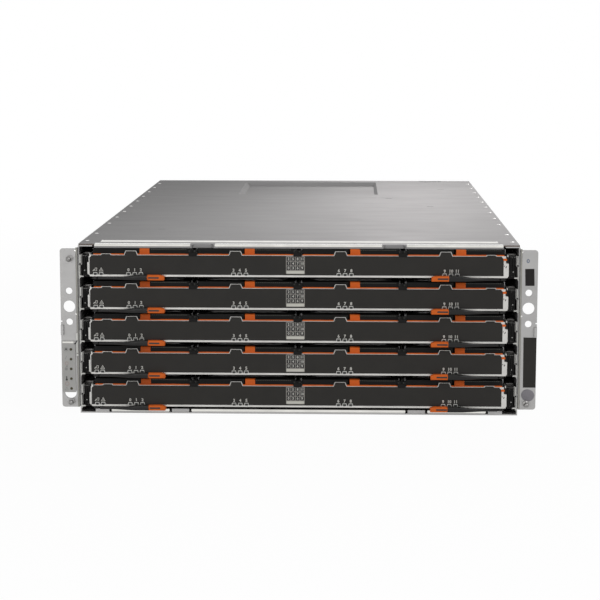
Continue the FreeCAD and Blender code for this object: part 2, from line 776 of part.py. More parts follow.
def make_trays():
    """Drawer tray: front with upstands, floor, walls, dividers, backplanes, rails and pins."""
    tray = new_body("tray")
    front = top_edge("0", "-front_half", "front_half")
    front += [("front_half", "first_floor + front_corner"),
              ("front_half - front_corner", "first_floor"),
              ("-front_half + front_corner", "first_floor"),
              ("-front_half", "first_floor + front_corner")]
    pad(tray, "XZ_Plane", "label_back", "front_back", front)
    inner = "tray_half - drawer_sheet"
    pad(tray, "XZ_Plane", "front_back", "tray_rear",
        [("-tray_half", "first_floor"), ("tray_half", "first_floor"), ("tray_half", "wall_top"),
         (inner, "wall_top"), (inner, "tray_floor"), ("-(%s)" % inner, "tray_floor"),
         ("-(%s)" % inner, "wall_top"), ("-tray_half", "wall_top")])
    pad(tray, "XY_Plane", "tray_floor", "wall_top",
        rect("-(%s)" % inner, inner, "tray_rear - drawer_sheet", "tray_rear"))
    dividers = [rect("%d * column_pitch - divider_sheet / 2" % i,
                     "%d * column_pitch + divider_sheet / 2" % i,
                     "front_back", "tray_rear - drawer_sheet") for i in (-1, 0, 1)]
    pad(tray, "XY_Plane", "tray_floor", "divider_top", *dividers)
    for row in range(ROWS):
        behind = "disk_front + %d * row_pitch + disk_length" % row
        pad(tray, "XY_Plane", "tray_floor", "backplane_top",
            rect("-(%s)" % inner, inner, behind, behind + " + backplane_sheet"))
    rail = [("tray_half", "slide_level - rail_height / 2"),
            ("rail_reach", "slide_level - rail_height / 2"),
            ("rail_reach", "slide_level - rail_height / 2 + slide_sheet"),
            ("tray_half + slide_sheet", "slide_level - rail_height / 2 + slide_sheet"),
            ("tray_half + slide_sheet", "slide_level + rail_height / 2 - slide_sheet"),
            ("rail_reach", "slide_level + rail_height / 2 - slide_sheet"),
            ("rail_reach", "slide_level + rail_height / 2"),
            ("tray_half", "slide_level + rail_height / 2")]
    pad(tray, "XZ_Plane", "slide_front", "slide_front + middle_length", rail, mirror(rail))
    pad(tray, "XY_Plane", "lever_bottom", "first_floor",
        ring("pivot_column", "pivot_line", "pivot_radius", 8),
        ring("-pivot_column", "pivot_line", "pivot_radius", 8))
    for_each_drawer("drawer_%d_tray", tray)


def grid_of(seed):
    """Twelve copies of what one disk position holds."""
    places = [(column, row) for column in range(COLUMNS) for row in range(ROWS)]
    return group(seed.Name + "_grid",
                 [moved(seed, ("column_pitch * %d" % column, "row_pitch * %d" % row, "0"))
                  for column, row in places])


def make_disks():
    """The disks, their carriers with the dividers' end blocks, and the carriers' latches."""
    disk = new_body("disk")
    pad(disk, "XY_Plane", "tray_floor", "disk_top",
        rect("disk_column - disk_width / 2", "disk_column + disk_width / 2",
             "disk_front", "disk_front + disk_length"))
    for_each_drawer("drawer_%d_disks", grid_of(disk))

    carrier = new_body("carrier")
    start = "front_back + carrier_front"
    west = "disk_column - carrier_half"
    east = "disk_column + carrier_half"
    pad(carrier, "XY_Plane", "tray_floor", "carrier_top",
        rect(west, east, start, start + " + carrier_depth"))
    arm_end = "disk_front + arm_length"
    pad(carrier, "XY_Plane", "disk_top", "carrier_top",
        rect(west, west + " + arm_width", start, arm_end),
        rect(east + " - arm_width", east, start, arm_end))
    latch_middle = "disk_column + latch_offset"
    slot = "(latch_half + latch_slack)"
    pocket(carrier, "XY_Plane", "first_floor + latch_low", "carrier_top",
           rect(latch_middle + " - " + slot, latch_middle + " + " + slot, start,
                start + " + latch_depth + latch_slack"))
    block = new_body("divider_block")
    seats = [rect("%d * column_pitch - block_half" % i, "%d * column_pitch + block_half" % i,
                  "front_back", "front_back + block_depth") for i in (-1, 0, 1)]
    pad(block, "XY_Plane", "divider_top", "carrier_top - block_drop", *seats)
    for_each_drawer("drawer_%d_carriers", group("carrier_set", [grid_of(carrier), block]))

    latch = new_body("latch")
    low = "first_floor + latch_low"
    high = "first_floor + latch_top"
    pad(latch, "YZ_Plane", latch_middle + " - latch_half", latch_middle + " + latch_half",
        [(start, low), (start + " + latch_depth", low),
         (start + " + latch_depth", high), (start + " + latch_slope", high),
         (start, high + " - latch_slope / 2")])
    for_each_drawer("drawer_%d_latches", grid_of(latch))


def make_levers():
    """Release levers under the drawer's front: a swelling arm with a pivot eye and a raised tip."""
    lever = new_body("lever")
    back = "lever_front + lever_arm"
    eye = ring("pivot_column", "pivot_line", "lever_boss", 8)
    halfway = "(lever_front + grip_front) / 2"
    swell = "(swell_near + swell_far) / 2"
    nose = "grip_far + grip_chamfer"
    front = [("grip_far", "grip_front + grip_chamfer"), (nose, "grip_front"),
             ("swell_far", "grip_front"), (swell, halfway), ("swell_near", "lever_front")]
    pad(lever, "XY_Plane", "lever_bottom", "lever_top",
        front + [("pivot_column", "lever_front")] + [eye[7], eye[0], eye[1], eye[2], eye[3]]
        + [("pivot_column - 2 * lever_boss", back), ("grip_far", back)])
    gap = "ear_face - grip_gap"
    pad(lever, "XY_Plane", "lever_top", "grip_top",
        front[:4] + [(swell, gap), ("grip_far", gap)])
    pocket(lever, "XZ_Plane", "grip_front", gap,
           [("grip_far", "grip_top - grip_chamfer"), (nose, "grip_top"), ("grip_far", "grip_top")],
           [("swell_far", "grip_top"), (swell, "lever_top"), (swell, "grip_top")])
    middle = "(lever_bottom + grip_top) / 2"
    pocket(lever, "XZ_Plane", "grip_front", "grip_front + grip_slot_depth",
           rect("grip_near - grip_slot_length", "grip_near",
                middle + " - grip_slot / 2", middle + " + grip_slot / 2"))
    pocket(lever, "XY_Plane", "lever_bottom", "lever_top",
           circle("pivot_column", "pivot_line", "pivot_radius + pivot_clear"))
    for_each_drawer("drawer_%d_lever_right", lever)
    for_each_drawer("drawer_%d_lever_left", reflected(lever))


# ---------------------------------------------------------------- rear

def plug(middle, low):
    """The outline of a plug that joins a module to the midplane, seen from the rear."""
    level = "%s + plug_margin" % low
    return rect(middle + " - plug_half", middle + " + plug_half", level, level + " + plug_height")


def make_midplane():
    """Midplane board with air openings, and the sockets that the rear modules plug into."""
    board = new_body("midplane_board")
    half = "(side_inner - midplane_gap)"
    pad(board, "XZ_Plane", "midplane", "midplane_rear",
        rect("-" + half, half, "body_sheet", "cover_under - midplane_drop"))
    vents = []
    for column in range(COLUMNS):
        middle = "disk_column + %d * column_pitch" % column
        reach = "(column_pitch / 2 - vent_rib)"
        for level in ("shelf_low / 2", "shelf_low * 3 / 2"):
            vents.append(rect(middle + " - " + reach, middle + " + " + reach,
                              level + " - vent_half_height", level + " + vent_half_height"))
    pocket(board, "XZ_Plane", "midplane", "midplane_rear", *vents)
    bays = [("(%s_left + %s_right) / 2" % (kind, kind), floor)
            for kind in ("fan", "supply", "board") for floor in ("lower_floor", "upper_floor")]
    pad(board, "XZ_Plane", "midplane_rear", "plug_front - plug_clear",
        *[plug(middle, floor) for middle, floor in bays])
    export(board)


def make_rear_frame():
    """Two bay walls and a shelf that divide the rear into six bays."""
    frame = new_body("rear_frame")
    pad(frame, "XZ_Plane", "bay_front", "rear_edge",
        rect("-side_inner", "side_inner", "shelf_low", "shelf_high"))
    pad(frame, "XZ_Plane", "bay_front", "rear_edge",
        rect("-bay_left - bay_sheet", "-bay_left", "body_sheet", "cover_under"))
    pad(frame, "XZ_Plane", "bay_front", "rear_edge",
        rect("bay_right", "bay_right + bay_sheet", "body_sheet", "cover_under"))
    export(frame)


def module_block(name, kind, low, high):
    """A module's housing with its plug at the front."""
    left, right = kind + "_left", kind + "_right"
    body = new_body(name)
    pad(body, "XZ_Plane", "module_start", "rear_edge", rect(left, right, low, high))
    pad(body, "XZ_Plane", "plug_front", "module_start",
        plug("(%s + %s) / 2" % (left, right), low))
    return body


def add_handle(body, middle, level):
    """A pull handle on the rear face, centred at X = middle with its underside at level."""
    back = "rear_edge + handle_reach"
    west = "%s - bar_length / 2" % middle
    east = "%s + bar_length / 2" % middle
    pad(body, "XY_Plane", level, level + " + bar_width",
        [(west, "rear_edge"), (west + " + bar_thick", "rear_edge"),
         (west + " + bar_thick", back + " - bar_thick"),
         (east + " - bar_thick", back + " - bar_thick"), (east + " - bar_thick", "rear_edge"),
         (east, "rear_edge"), (east, back), (west, back)])


def add_catch(body, middle, high):
    """A spring catch on the rear face, near the top of the module."""
    level = "%s - catch_drop" % high
    pad(body, "YZ_Plane", middle + " - catch_half", middle + " + catch_half",
        [("rear_edge", level), ("rear_edge + catch_reach", level),
         ("rear_edge + catch_reach / 2", level + " + catch_height"),
         ("rear_edge", level + " + catch_height")])


def add_grille(body, middle, level, low, high):
    """Level slots, each as long as the round duct is wide there."""
    slots = []
    for step in (-3, -2, -1, 1, 2, 3):
        centre = "%s + %d * grille_step" % (level, step)
        outer = "%d * grille_step + grille_rim" % abs(step)
        reach = "(sqrt(duct_radius ^ 2 - (%s) ^ 2) - grille_rim)" % outer
        slots.append(rect("%s - %s" % (middle, reach), "%s + %s" % (middle, reach),
                          centre + " - grille_slot / 2", centre + " + grille_slot / 2"))
    pocket(body, "XZ_Plane", low, high, *slots)


def make_fan_module(place, low, high, rotor_seed):
    """Fan module: a housing with a round duct, a grille, a shaft and its rotor."""
    module = module_block("fan_module_" + place, "fan", low, high)
    middle = "(fan_left + duct_radius + duct_margin)"
    level = "(%s + %s) / 2" % (low, high)
    grille = "rear_edge - grille_sheet"
    pocket(module, "XZ_Plane", "plug_front", grille, circle(middle, level, "duct_radius"))
    add_grille(module, middle, level, grille, "rear_edge")
    pad(module, "XZ_Plane", grille + " - shaft_length", grille,
        ring(middle, level, "shaft_radius"))
    bar_middle = "(fan_right - bar_length / 2 - fan_bar_margin)"
    add_handle(module, bar_middle, low + " + fan_bar_rise")
    add_catch(module, "(fan_right - catch_half - fan_bar_margin)", high)
    export(module)

    rotor = group("fan_rotor_" + place, [rotor_seed])
    rotor.setExpression("Placement.Base.x", cells(middle))
    rotor.setExpression("Placement.Base.z", cells(level))
    export(rotor)


def make_rotor():
    """Fan rotor about the Y axis: a hub with pitched blades and a hole for the shaft."""
    rotor = new_body("rotor")
    back = "rear_edge - grille_sheet - rotor_place"
    front = back + " - rotor_depth"
    pad(rotor, "XZ_Plane", front, back, ring("0", "0", "rotor_hub"))
    pad(rotor, "XY_Plane", "rotor_hub - blade_root", "rotor_radius",
        [("-blade_sweep", front), ("blade_sheet - blade_sweep", front),
         ("blade_sweep", back), ("blade_sweep - blade_sheet", back)])
    blade = rotor.Tip
    spin = rotor.newObject("PartDesign::PolarPattern", "rotor_blades")
    spin.Originals = [blade]
    spin.Axis = ([item for item in rotor.Origin.OriginFeatures if item.Role == "Y_Axis"][0], [""])
    spin.Occurrences = BLADES
    rotor.Tip = spin
    pocket(rotor, "XZ_Plane", front, back, circle("0", "0", "shaft_radius + shaft_clear"))
    return rotor


def make_power_supply(place, low, high):
    """Power supply: a housing with a mains inlet, air louvres and a handle."""
    supply = module_block("power_supply_" + place, "supply", low, high)
    middle = "(supply_left + socket_half + socket_margin)"
    level = low + " + socket_rise"
    pocket(supply, "XZ_Plane", "rear_edge - socket_depth", "rear_edge",
           rect(middle + " - socket_half", middle + " + socket_half", level,
                level + " + socket_height"))
    add_handle(supply, "(supply_right - bar_length / 2 - supply_bar_margin)",
               low + " + supply_bar_rise")
    slots = []
    for step in range(3):
        level = "%s + louvre_rise + %d * grille_step" % (low, step)
        slots.append(rect("supply_left + louvre_margin", "supply_right - louvre_margin",
                          level, level + " + grille_slot"))
    pocket(supply, "XZ_Plane", "rear_edge - 2 * grille_sheet", "rear_edge", *slots)
    add_catch(supply, "(supply_right - catch_half - supply_bar_margin)", high)
    export(supply)


def make_control_module(place, low, high):
    """Control module: a housing with a row of ports and a handle."""
    module = module_block("control_module_" + place, "board", low, high)
    ports = []
    for step in range(PORTS):
        middle = "board_left + port_margin + %d * port_step" % step
        ports.append(rect(middle + " - port_half", middle + " + port_half",
                          low + " + port_rise", low + " + port_rise + port_height"))
    pocket(module, "XZ_Plane", "rear_edge - port_depth", "rear_edge", *ports)
    add_handle(module, "(board_right - bar_length / 2 - board_bar_margin)",
               low + " + board_bar_rise")
    add_catch(module, "(board_right - catch_half - board_bar_margin)", high)
    export(module)


def make_rear_modules():
    """The six plug-in modules, two high in three columns."""
    rotor_seed = make_rotor()
    make_fan_module("lower", "lower_floor", "lower_roof", rotor_seed)
    make_fan_module("upper", "upper_floor", "upper_roof", rotor_seed)
    make_power_supply("lower", "lower_floor", "lower_roof")
    make_power_supply("upper", "upper_floor", "upper_roof")
    make_control_module("lower", "lower_floor", "lower_floor + board_height")
    make_control_module("upper", "upper_floor", "board_roof")


# ---------------------------------------------------------------- check and write

def check_document():
    """Stop if an object failed, a pocket removed nothing or a sub-part is not sound."""
    for item in doc.Objects:
        if "Invalid" in item.State or "Error" in item.State:
            raise RuntimeError("%s: %s" % (item.Name, item.State))
        if item.isDerivedFrom("PartDesign::Pocket"):
            if item.BaseFeature.Shape.Volume - item.Shape.Volume < 0.01:
                raise RuntimeError("%s removes nothing" % item.Name)
    for item in exports:
        if item.Shape.isNull() or not item.Shape.isValid() or not item.Shape.Solids:
            raise RuntimeError("%s has no sound solid" % item.Label)


fill_sheet("Sizes", {name: str(size) for name, size in SIZES.items()})
fill_sheet("Places", {name: "=" + cells(text) for name, text in PLACES.items()})
doc.recompute()
make_base_pan()
make_front_cover()
make_rear_cover()
make_ear()
make_status_panel()
make_studs()
make_rivets()
make_slides()
make_face_labels()
make_trays()
make_disks()
make_levers()
make_midplane()
make_rear_frame()
make_rear_modules()
doc.recompute()
check_document()
os.makedirs("parts", exist_ok=True)
for item in exports:
    item.Shape.exportStep("parts/%s.step" % item.Label)
print("%d sub-parts written" % len(exports))
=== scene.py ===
import math
import bmesh
import bpy
from mathutils import Matrix, Vector


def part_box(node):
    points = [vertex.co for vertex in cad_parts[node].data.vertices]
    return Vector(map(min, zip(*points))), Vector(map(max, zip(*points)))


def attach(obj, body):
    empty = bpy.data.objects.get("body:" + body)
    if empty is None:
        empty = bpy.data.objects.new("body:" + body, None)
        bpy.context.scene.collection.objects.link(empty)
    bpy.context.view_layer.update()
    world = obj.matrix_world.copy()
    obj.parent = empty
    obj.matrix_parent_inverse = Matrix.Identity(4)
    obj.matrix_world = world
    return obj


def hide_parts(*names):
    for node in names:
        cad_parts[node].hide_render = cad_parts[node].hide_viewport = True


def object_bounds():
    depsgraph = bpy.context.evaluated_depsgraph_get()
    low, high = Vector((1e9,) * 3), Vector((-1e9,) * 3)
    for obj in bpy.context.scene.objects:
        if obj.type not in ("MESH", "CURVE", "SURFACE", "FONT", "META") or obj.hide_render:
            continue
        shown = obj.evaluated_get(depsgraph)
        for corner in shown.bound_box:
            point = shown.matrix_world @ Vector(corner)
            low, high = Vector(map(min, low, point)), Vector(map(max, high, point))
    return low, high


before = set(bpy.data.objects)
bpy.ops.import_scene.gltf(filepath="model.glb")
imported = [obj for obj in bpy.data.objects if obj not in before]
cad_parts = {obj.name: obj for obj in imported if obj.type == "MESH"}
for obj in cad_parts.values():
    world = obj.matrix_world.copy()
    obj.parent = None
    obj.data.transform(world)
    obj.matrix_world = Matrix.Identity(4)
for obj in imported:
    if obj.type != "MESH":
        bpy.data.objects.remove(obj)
cad_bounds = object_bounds()

# Metres. X is to the right seen from the front, the front faces -Y, Z is up.
GROUND = cad_bounds[0].z
EAR_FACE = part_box("drawer_1_face_label")[0].y

# ---------------------------------------------------------------- materials

RELIEF_DEPTH = 0.0002            # metres
FINISHES = {}


def add(tree, kind, **values):
    """A shader node with values on its inputs, whose names are given with underscores."""
    node = tree.nodes.new("ShaderNode" + kind)
    for socket, value in values.items():
        node.inputs[socket.replace("_", " ")].default_value = value
    return node


def shader(name, colour, metallic, roughness, **sockets):
    """A Principled material."""
    item = bpy.data.materials.get(name) or bpy.data.materials.new(name)
    item.use_nodes = True
    tree = item.node_tree
    tree.nodes.clear()
    bsdf = add(tree, "BsdfPrincipled", Base_Color=(*colour, 1), Metallic=metallic,
               Roughness=roughness, **sockets)
    output = add(tree, "OutputMaterial")
    tree.links.new(bsdf.outputs["BSDF"], output.inputs["Surface"])
    return item


def principled(tree):
    """The Principled shader of a material's nodes."""
    return [node for node in tree.nodes if node.type == "BSDF_PRINCIPLED"][0]


def noise(tree, scale, stretch, detail=4.0):
    """A noise texture in object coordinates, stretched along one axis for brushed sheet."""
    place = add(tree, "TexCoord")
    mapping = add(tree, "Mapping", Scale=stretch)
    texture = add(tree, "TexNoise", Scale=scale, Detail=detail, Roughness=0.55)
    tree.links.new(place.outputs["Object"], mapping.inputs["Vector"])
    tree.links.new(mapping.outputs["Vector"], texture.inputs["Vector"])
    return texture.outputs["Fac"]


def ramp(tree, source, stops):
    """A colour ramp over source with two (position, colour) stops."""
    node = add(tree, "ValToRGB")
    for element, (position, colour) in zip(node.color_ramp.elements, stops):
        element.position = position
        element.color = (*colour, 1)
    tree.links.new(source, node.inputs["Fac"])
    return node.outputs["Color"]


def spread(tree, source, low, high):
    """Map a 0 to 1 value to the range low to high."""
    node = add(tree, "MapRange", To_Min=low, To_Max=high)
    tree.links.new(source, node.inputs["Value"])
    return node.outputs["Result"]


def bump(tree, bsdf, source, strength):
    """Drive the shader's normal from a height."""
    node = add(tree, "Bump", Strength=strength, Distance=RELIEF_DEPTH)
    tree.links.new(source, node.inputs["Height"])
    tree.links.new(node.outputs["Normal"], bsdf.inputs["Normal"])


def finish(name, colour, metallic, roughness, vary=0.12, grain=40, stretch=(1, 1, 1),
           relief=0.05, rough_vary=0.08, **sockets):
    """Note a finish with mottled colour, uneven gloss and a fine surface relief."""
    item = shader(name, colour, metallic, roughness, **sockets)
    tree = item.node_tree
    bsdf = principled(tree)
    mottle = noise(tree, grain, stretch)
    dark = tuple(c * (1 - vary) for c in colour)
    light = tuple(min(1, c * (1 + vary)) for c in colour)
    tree.links.new(ramp(tree, mottle, [(0.3, dark), (0.7, light)]), bsdf.inputs["Base Color"])
    uneven = noise(tree, grain * 2.3, stretch, detail=3)
    tree.links.new(spread(tree, uneven, roughness - rough_vary, roughness + rough_vary),
                   bsdf.inputs["Roughness"])
    fine = noise(tree, grain * 12, stretch, detail=2)
    bump(tree, bsdf, fine, relief)
    FINISHES[name] = item


finish("galvanised_steel", (0.42, 0.415, 0.41), 0.75, 0.45, vary=0.05, grain=55,
       stretch=(0.3, 1, 1), Specular_IOR_Level=0.1, Specular_Tint=(0.12, 0.12, 0.12, 1))
finish("cover_steel", (0.33, 0.325, 0.325), 0.25, 0.5, vary=0.04, grain=45, stretch=(0.3, 1, 1),
       relief=0.02, Specular_IOR_Level=0.0, Specular_Tint=(0.1, 0.1, 0.1, 1))
finish("tray_steel", (0.63, 0.62, 0.595), 0.5, 0.38)
finish("slide_steel", (0.30, 0.295, 0.285), 0.7, 0.38)
finish("module_steel", (0.38, 0.38, 0.375), 0.6, 0.45, vary=0.05, grain=70, stretch=(0.3, 1, 1))
finish("panel_grey", (0.46, 0.455, 0.44), 0.0, 0.5)
finish("light_pipe", (0.055, 0.046, 0.018), 0.0, 0.22)
finish("bright_metal", (0.75, 0.74, 0.72), 0.95, 0.25)
finish("label_black", (0.017, 0.0155, 0.0135), 0.0, 0.5, Specular_IOR_Level=0.25)
finish("black_plastic", (0.006, 0.0058, 0.0055), 0.0, 0.5, Specular_IOR_Level=0.15)
finish("lever_plastic", (0.007, 0.0066, 0.006), 0.0, 0.3, Specular_IOR_Level=0.3)
finish("orange_plastic", (0.69, 0.135, 0.02), 0.0, 0.45, Specular_IOR_Level=0.15)
finish("disk_aluminium", (0.52, 0.52, 0.52), 0.8, 0.42, vary=0.04,
       Specular_Tint=(0.5, 0.5, 0.5, 1))
finish("circuit_board", (0.02, 0.09, 0.04), 0.0, 0.45)
finish("print_light", (0.58, 0.57, 0.53), 0.0, 0.6, relief=0.02)
finish("bare_edge", (0.60, 0.60, 0.57), 0.3, 0.4, relief=0.02)
# Painted highlight: a mirror-bright finish for strips that stand in for the light caught by folded
# edges and lips.
finish("highlight_strip_steel", (0.74, 0.73, 0.69), 1.0, 0.08, relief=0.0, rough_vary=0.02)
finish("guard_wire", (0.55, 0.54, 0.52), 0.9, 0.3, relief=0.02)
finish("stud_steel", (0.24, 0.235, 0.23), 1.0, 0.35)
finish("edge_steel", (0.27, 0.265, 0.24), 0.7, 0.35)
finish("gasket_brown", (0.13, 0.10, 0.085), 0.0, 0.6)
finish("window_dark", (0.008, 0.008, 0.008), 0.0, 0.35, relief=0.02)
finish("legend_grey", (0.25, 0.235, 0.215), 0.0, 0.5, relief=0.02)
finish("legend_pale", (0.60, 0.59, 0.53), 0.0, 0.5, relief=0.02)
# Painted glints: grey for ticks and dashes that stand in for light caught by black plastic edges
# and teeth.
finish("glint_grey", (0.10, 0.10, 0.085), 0.3, 0.4, relief=0.02)
finish("paper_white", (0.60, 0.60, 0.58), 0.0, 0.7, relief=0.02)
finish("plug_grey", (0.215, 0.205, 0.225), 0.0, 0.5)
finish("patch_dark", (0.014, 0.012, 0.0115), 0.0, 0.6, Specular_IOR_Level=0.2)
finish("ring_blue", (0.12, 0.16, 0.24), 0.2, 0.4)
finish("mark_grey", (0.06, 0.06, 0.055), 0.0, 0.6)
finish("mark_pink", (0.40, 0.27, 0.25), 0.0, 0.6)
finish("mark_faint", (0.30, 0.30, 0.29), 0.0, 0.6)

for name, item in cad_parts.items():
    for place in item.material_slots:
        key = place.material.name.split(".")[0]
        place.material = FINISHES["cover_steel" if name.startswith("top_cover") else key]

# ---------------------------------------------------------------- mesh helpers, in millimetres

MM = 0.001
X, Y, Z = range(3)               # axes
FONT_SIZE = 1.37                 # of figures that are 1 high


def spot(bm, axis, point, level):
    """A vertex from the two coordinates across an axis and its level along the axis."""
    values = list(point)
    values.insert(axis, level)
    return bm.verts.new([value * MM for value in values])


def prism(bm, outline, axis, low, high):
    """Extrude a closed outline along an axis."""
    first = [spot(bm, axis, point, low) for point in outline]
    last = [spot(bm, axis, point, high) for point in outline]
    bm.faces.new(first)
    bm.faces.new(last[::-1])
    for i, vertex in enumerate(first):
        bm.faces.new((vertex, last[i], last[i - 1], first[i - 1]))


def block(bm, x, y, z):
    """A rectangular block from three ranges."""
    prism(bm, [(x[0], z[0]), (x[1], z[0]), (x[1], z[1]), (x[0], z[1])], Y, *y)


def arc(across, along, radius, start, end, steps):
    """Points on an arc, with angles in degrees."""
    turns = [math.radians(start + (end - start) * i / steps) for i in range(steps + 1)]
    return [(across + radius * math.cos(t), along + radius * math.sin(t)) for t in turns]


def circle(across, along, radius, sides=24):
    return arc(across, along, radius, 0, 360, sides)[:-1]


def rounded(left, right, low, high, radius, steps=4):
    """A rectangle's outline with rounded corners."""
    return (arc(right - radius, low + radius, radius, -90, 0, steps)
            + arc(right - radius, high - radius, radius, 0, 90, steps)
            + arc(left + radius, high - radius, radius, 90, 180, steps)
            + arc(left + radius, low + radius, radius, 180, 270, steps))


def stroke(bm, points, width, axis, low, high, closed=False):
    """A ribbon of constant width along a line, mitred at its corners."""
    spots = [Vector(point) for point in points]
    count = len(spots)
    stations = []
    for i, here in enumerate(spots):
        ways = []
        if i or closed:
            ways.append((here - spots[i - 1]).normalized())
        if i < count - 1 or closed:
            ways.append((spots[(i + 1) % count] - here).normalized())
        mean = sum(ways, Vector((0, 0))).normalized()
        normal = Vector((-mean.y, mean.x))
        lean = normal.dot(Vector((-ways[0].y, ways[0].x)))
        reach = width / 2 / max(0.4, lean)
        left, right = here + normal * reach, here - normal * reach
        stations.append([spot(bm, axis, left, low), spot(bm, axis, right, low),
                         spot(bm, axis, right, high), spot(bm, axis, left, high)])
    for i in range(count if closed else count - 1):
        near, far = stations[i], stations[(i + 1) % count]
        for k in range(4):
            bm.faces.new((near[k - 1], near[k], far[k], far[k - 1]))
    if not closed:
        bm.faces.new(stations[0])
        bm.faces.new(stations[-1][::-1])


def loft(bm, sections):
    """Join closed sections of equally many points, and cap both ends."""
    rings = [[bm.verts.new([c * MM for c in point]) for point in section] for section in sections]
    for near, far in zip(rings, rings[1:]):
        for i in range(len(near)):
            bm.faces.new((near[i - 1], near[i], far[i], far[i - 1]))
    bm.faces.new(rings[0])
    bm.faces.new(rings[-1][::-1])


def lathe(bm, centre, axis, profile, sides):
    """Turn a profile of (radius, level) points round a line along an axis, closed on the line."""
    rings = []
    for radius, level in profile:
        if radius == 0:
            rings.append([spot(bm, axis, centre, level)] * sides)
        else:
            rings.append([spot(bm, axis, point, level)
                          for point in circle(*centre, radius, sides)])
    for near, far in zip(rings, rings[1:]):
        for i in range(sides):
            corners = []
            for vertex in (near[i - 1], near[i], far[i], far[i - 1]):
                if vertex not in corners:
                    corners.append(vertex)
            bm.faces.new(corners)
    for ring in (rings[0], rings[-1]):
        if ring[0] is not ring[1]:
            bm.faces.new(ring)


def hoop(bm, centre, radius, level, thick):
    """A ring of round wire about a line along Y."""
    sides = 48
    rings = []
    for across, offset in circle(radius, 0, thick, 8):
        rings.append([spot(bm, Y, point, level + offset)
                      for point in circle(*centre, across, sides)])
    for k, ring in enumerate(rings):
        for i in range(sides):
            bm.faces.new((rings[k - 1][i - 1], rings[k - 1][i], ring[i], ring[i - 1]))


def surround(bm, outer, inner, axis, low, high):
    """A frame between two closed outlines of equally many points."""
    loops = [[spot(bm, axis, point, level) for point in outline]
             for outline, level in ((outer, low), (inner, low), (inner, high), (outer, high))]
    for k, loop in enumerate(loops):
        for i in range(len(loop)):
            bm.faces.new((loops[k - 1][i - 1], loops[k - 1][i], loop[i], loop[i - 1]))


def figures(bm, text, height, across, along, low, high, weight):
    """Plain figures that face -Y, centred on a point."""
    curve = bpy.data.curves.new("figures", "FONT")
    curve.body = text
    curve.size = height * FONT_SIZE * MM
    curve.align_x = "CENTER"
    curve.align_y = "CENTER"
    curve.extrude = (high - low) / 2 * MM
    curve.offset = height * weight * MM
    curve.resolution_u = 2
    item = bpy.data.objects.new("figures", curve)
    mesh = bpy.data.meshes.new_from_object(item)
    centre = Vector((across, (low + high) / 2, along)) * MM
    mesh.transform(Matrix.Translation(centre) @ Matrix.Rotation(math.radians(90), 4, "X"))
    bm.from_mesh(mesh)
    bpy.data.meshes.remove(mesh)
    bpy.data.objects.remove(item)
    bpy.data.curves.remove(curve)


def shaped(name, bm, finish_name, smooth_angle=35, bevel=0):
    """Turn a bmesh into a mesh with its finish; flat and round faces are told apart by angle."""
    if bevel:
        bmesh.ops.recalc_face_normals(bm, faces=bm.faces)
        sharp = [edge for edge in bm.edges
                 if len(edge.link_faces) == 2 and edge.calc_face_angle() > math.radians(50)]
        bmesh.ops.bevel(bm, geom=sharp, offset=bevel * MM, segments=2, profile=0.5,
                        affect="EDGES", clamp_overlap=True)
    bmesh.ops.recalc_face_normals(bm, faces=bm.faces)
    mesh = bpy.data.meshes.new(name)
    bm.to_mesh(mesh)
    bm.free()
    mesh.polygons.foreach_set("use_smooth", [True] * len(mesh.polygons))
    mesh.set_sharp_from_angle(angle=math.radians(smooth_angle))
    mesh.materials.append(FINISHES[finish_name])
    return mesh


def placed(name, mesh, body, lift=0.0, stands_for=()):
    """Put a piece on a body, raised by lift metres, in place of the CAD nodes it stands for."""
    item = bpy.data.objects.new(name, mesh)
    item.location.z = lift
    bpy.context.scene.collection.objects.link(item)
    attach(item, body)
    if stands_for:
        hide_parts(*stands_for)


def fitted(name, bm, finish_name, body, smooth_angle=35, bevel=0, stands_for=()):
    """Turn a bmesh into a piece on a body."""
    placed(name, shaped(name, bm, finish_name, smooth_angle, bevel), body,
           stands_for=stands_for)


def trim(name, bm, finish_name, slot, smooth_angle=35, bevel=0):
    """Turn a bmesh into a piece that every drawer has: its name, mesh and slot."""
    return name, shaped(name, bm, finish_name, smooth_angle, bevel), slot


# ---------------------------------------------------------------- drawers

# Millimetres. Heights on a drawer are above its underside.
EAR = EAR_FACE * 1000            # front plane of the ears and of the drawers' labels
PANEL_BACK = EAR + 1.4
CARRIER_FACE = EAR + 3.4
DRAWERS = [n for n in range(1, 10) if "drawer_%d_tray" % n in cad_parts]
LABEL_LIFT = 0.002               # metres from a drawer's underside to its label's lower edge
COLUMNS = (-159, -53, 53, 159)   # middles of the columns of disks
WINDOW_COLUMNS = (-159.4, -53, 53.4, 160)   # printed a little wider apart than the disks
LATCH_COLUMNS = (-158.6, -52.0, 54.6, 161.2)
DIVIDERS = (-106, 0, 106)
ROWS = (0, 163, 326)
PANEL_TOP = 22.1
LATCH_TOP = 28.3
WINDOW_OFFSET = -6.0             # middle of a column to its three light windows
WINDOW_STEP = 6.3
PAIR = (-205.5, -199.5)          # two more windows at the left end
PROUD = 0.06                     # print on a surface
NUMBER_LEVEL = 6.7
LEGEND = (-12.3, 6.8, 3.3, 21.4)
HUMP_OFFSET = -10.2              # middle of a column to the hump of the label
HUMP = (4.2, 7, 5.3)             # rise, half width at the foot and at the top
END_HUMP = (1.2, 5.6, 4.6)
END_HUMP_MIDDLE = 194.5
LEVER_REACH = 6.5                # the labels' plane to the front of a lever's tip
LEVER_TOP = 2.2
LEVER_LOW, LEVER_SHELF = -3.1, -0.4


def underside(n):
    """Height of drawer n's underside in metres, from its label's lower edge."""
    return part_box("drawer_%d_face_label" % n)[0].z - LABEL_LIFT


def window_spots():
    """Middles of the windows, the pair at the left end first."""
    groups = [column + WINDOW_OFFSET + k * WINDOW_STEP for column in WINDOW_COLUMNS
              for k in (-1, 0, 1)]
    return list(PAIR) + groups


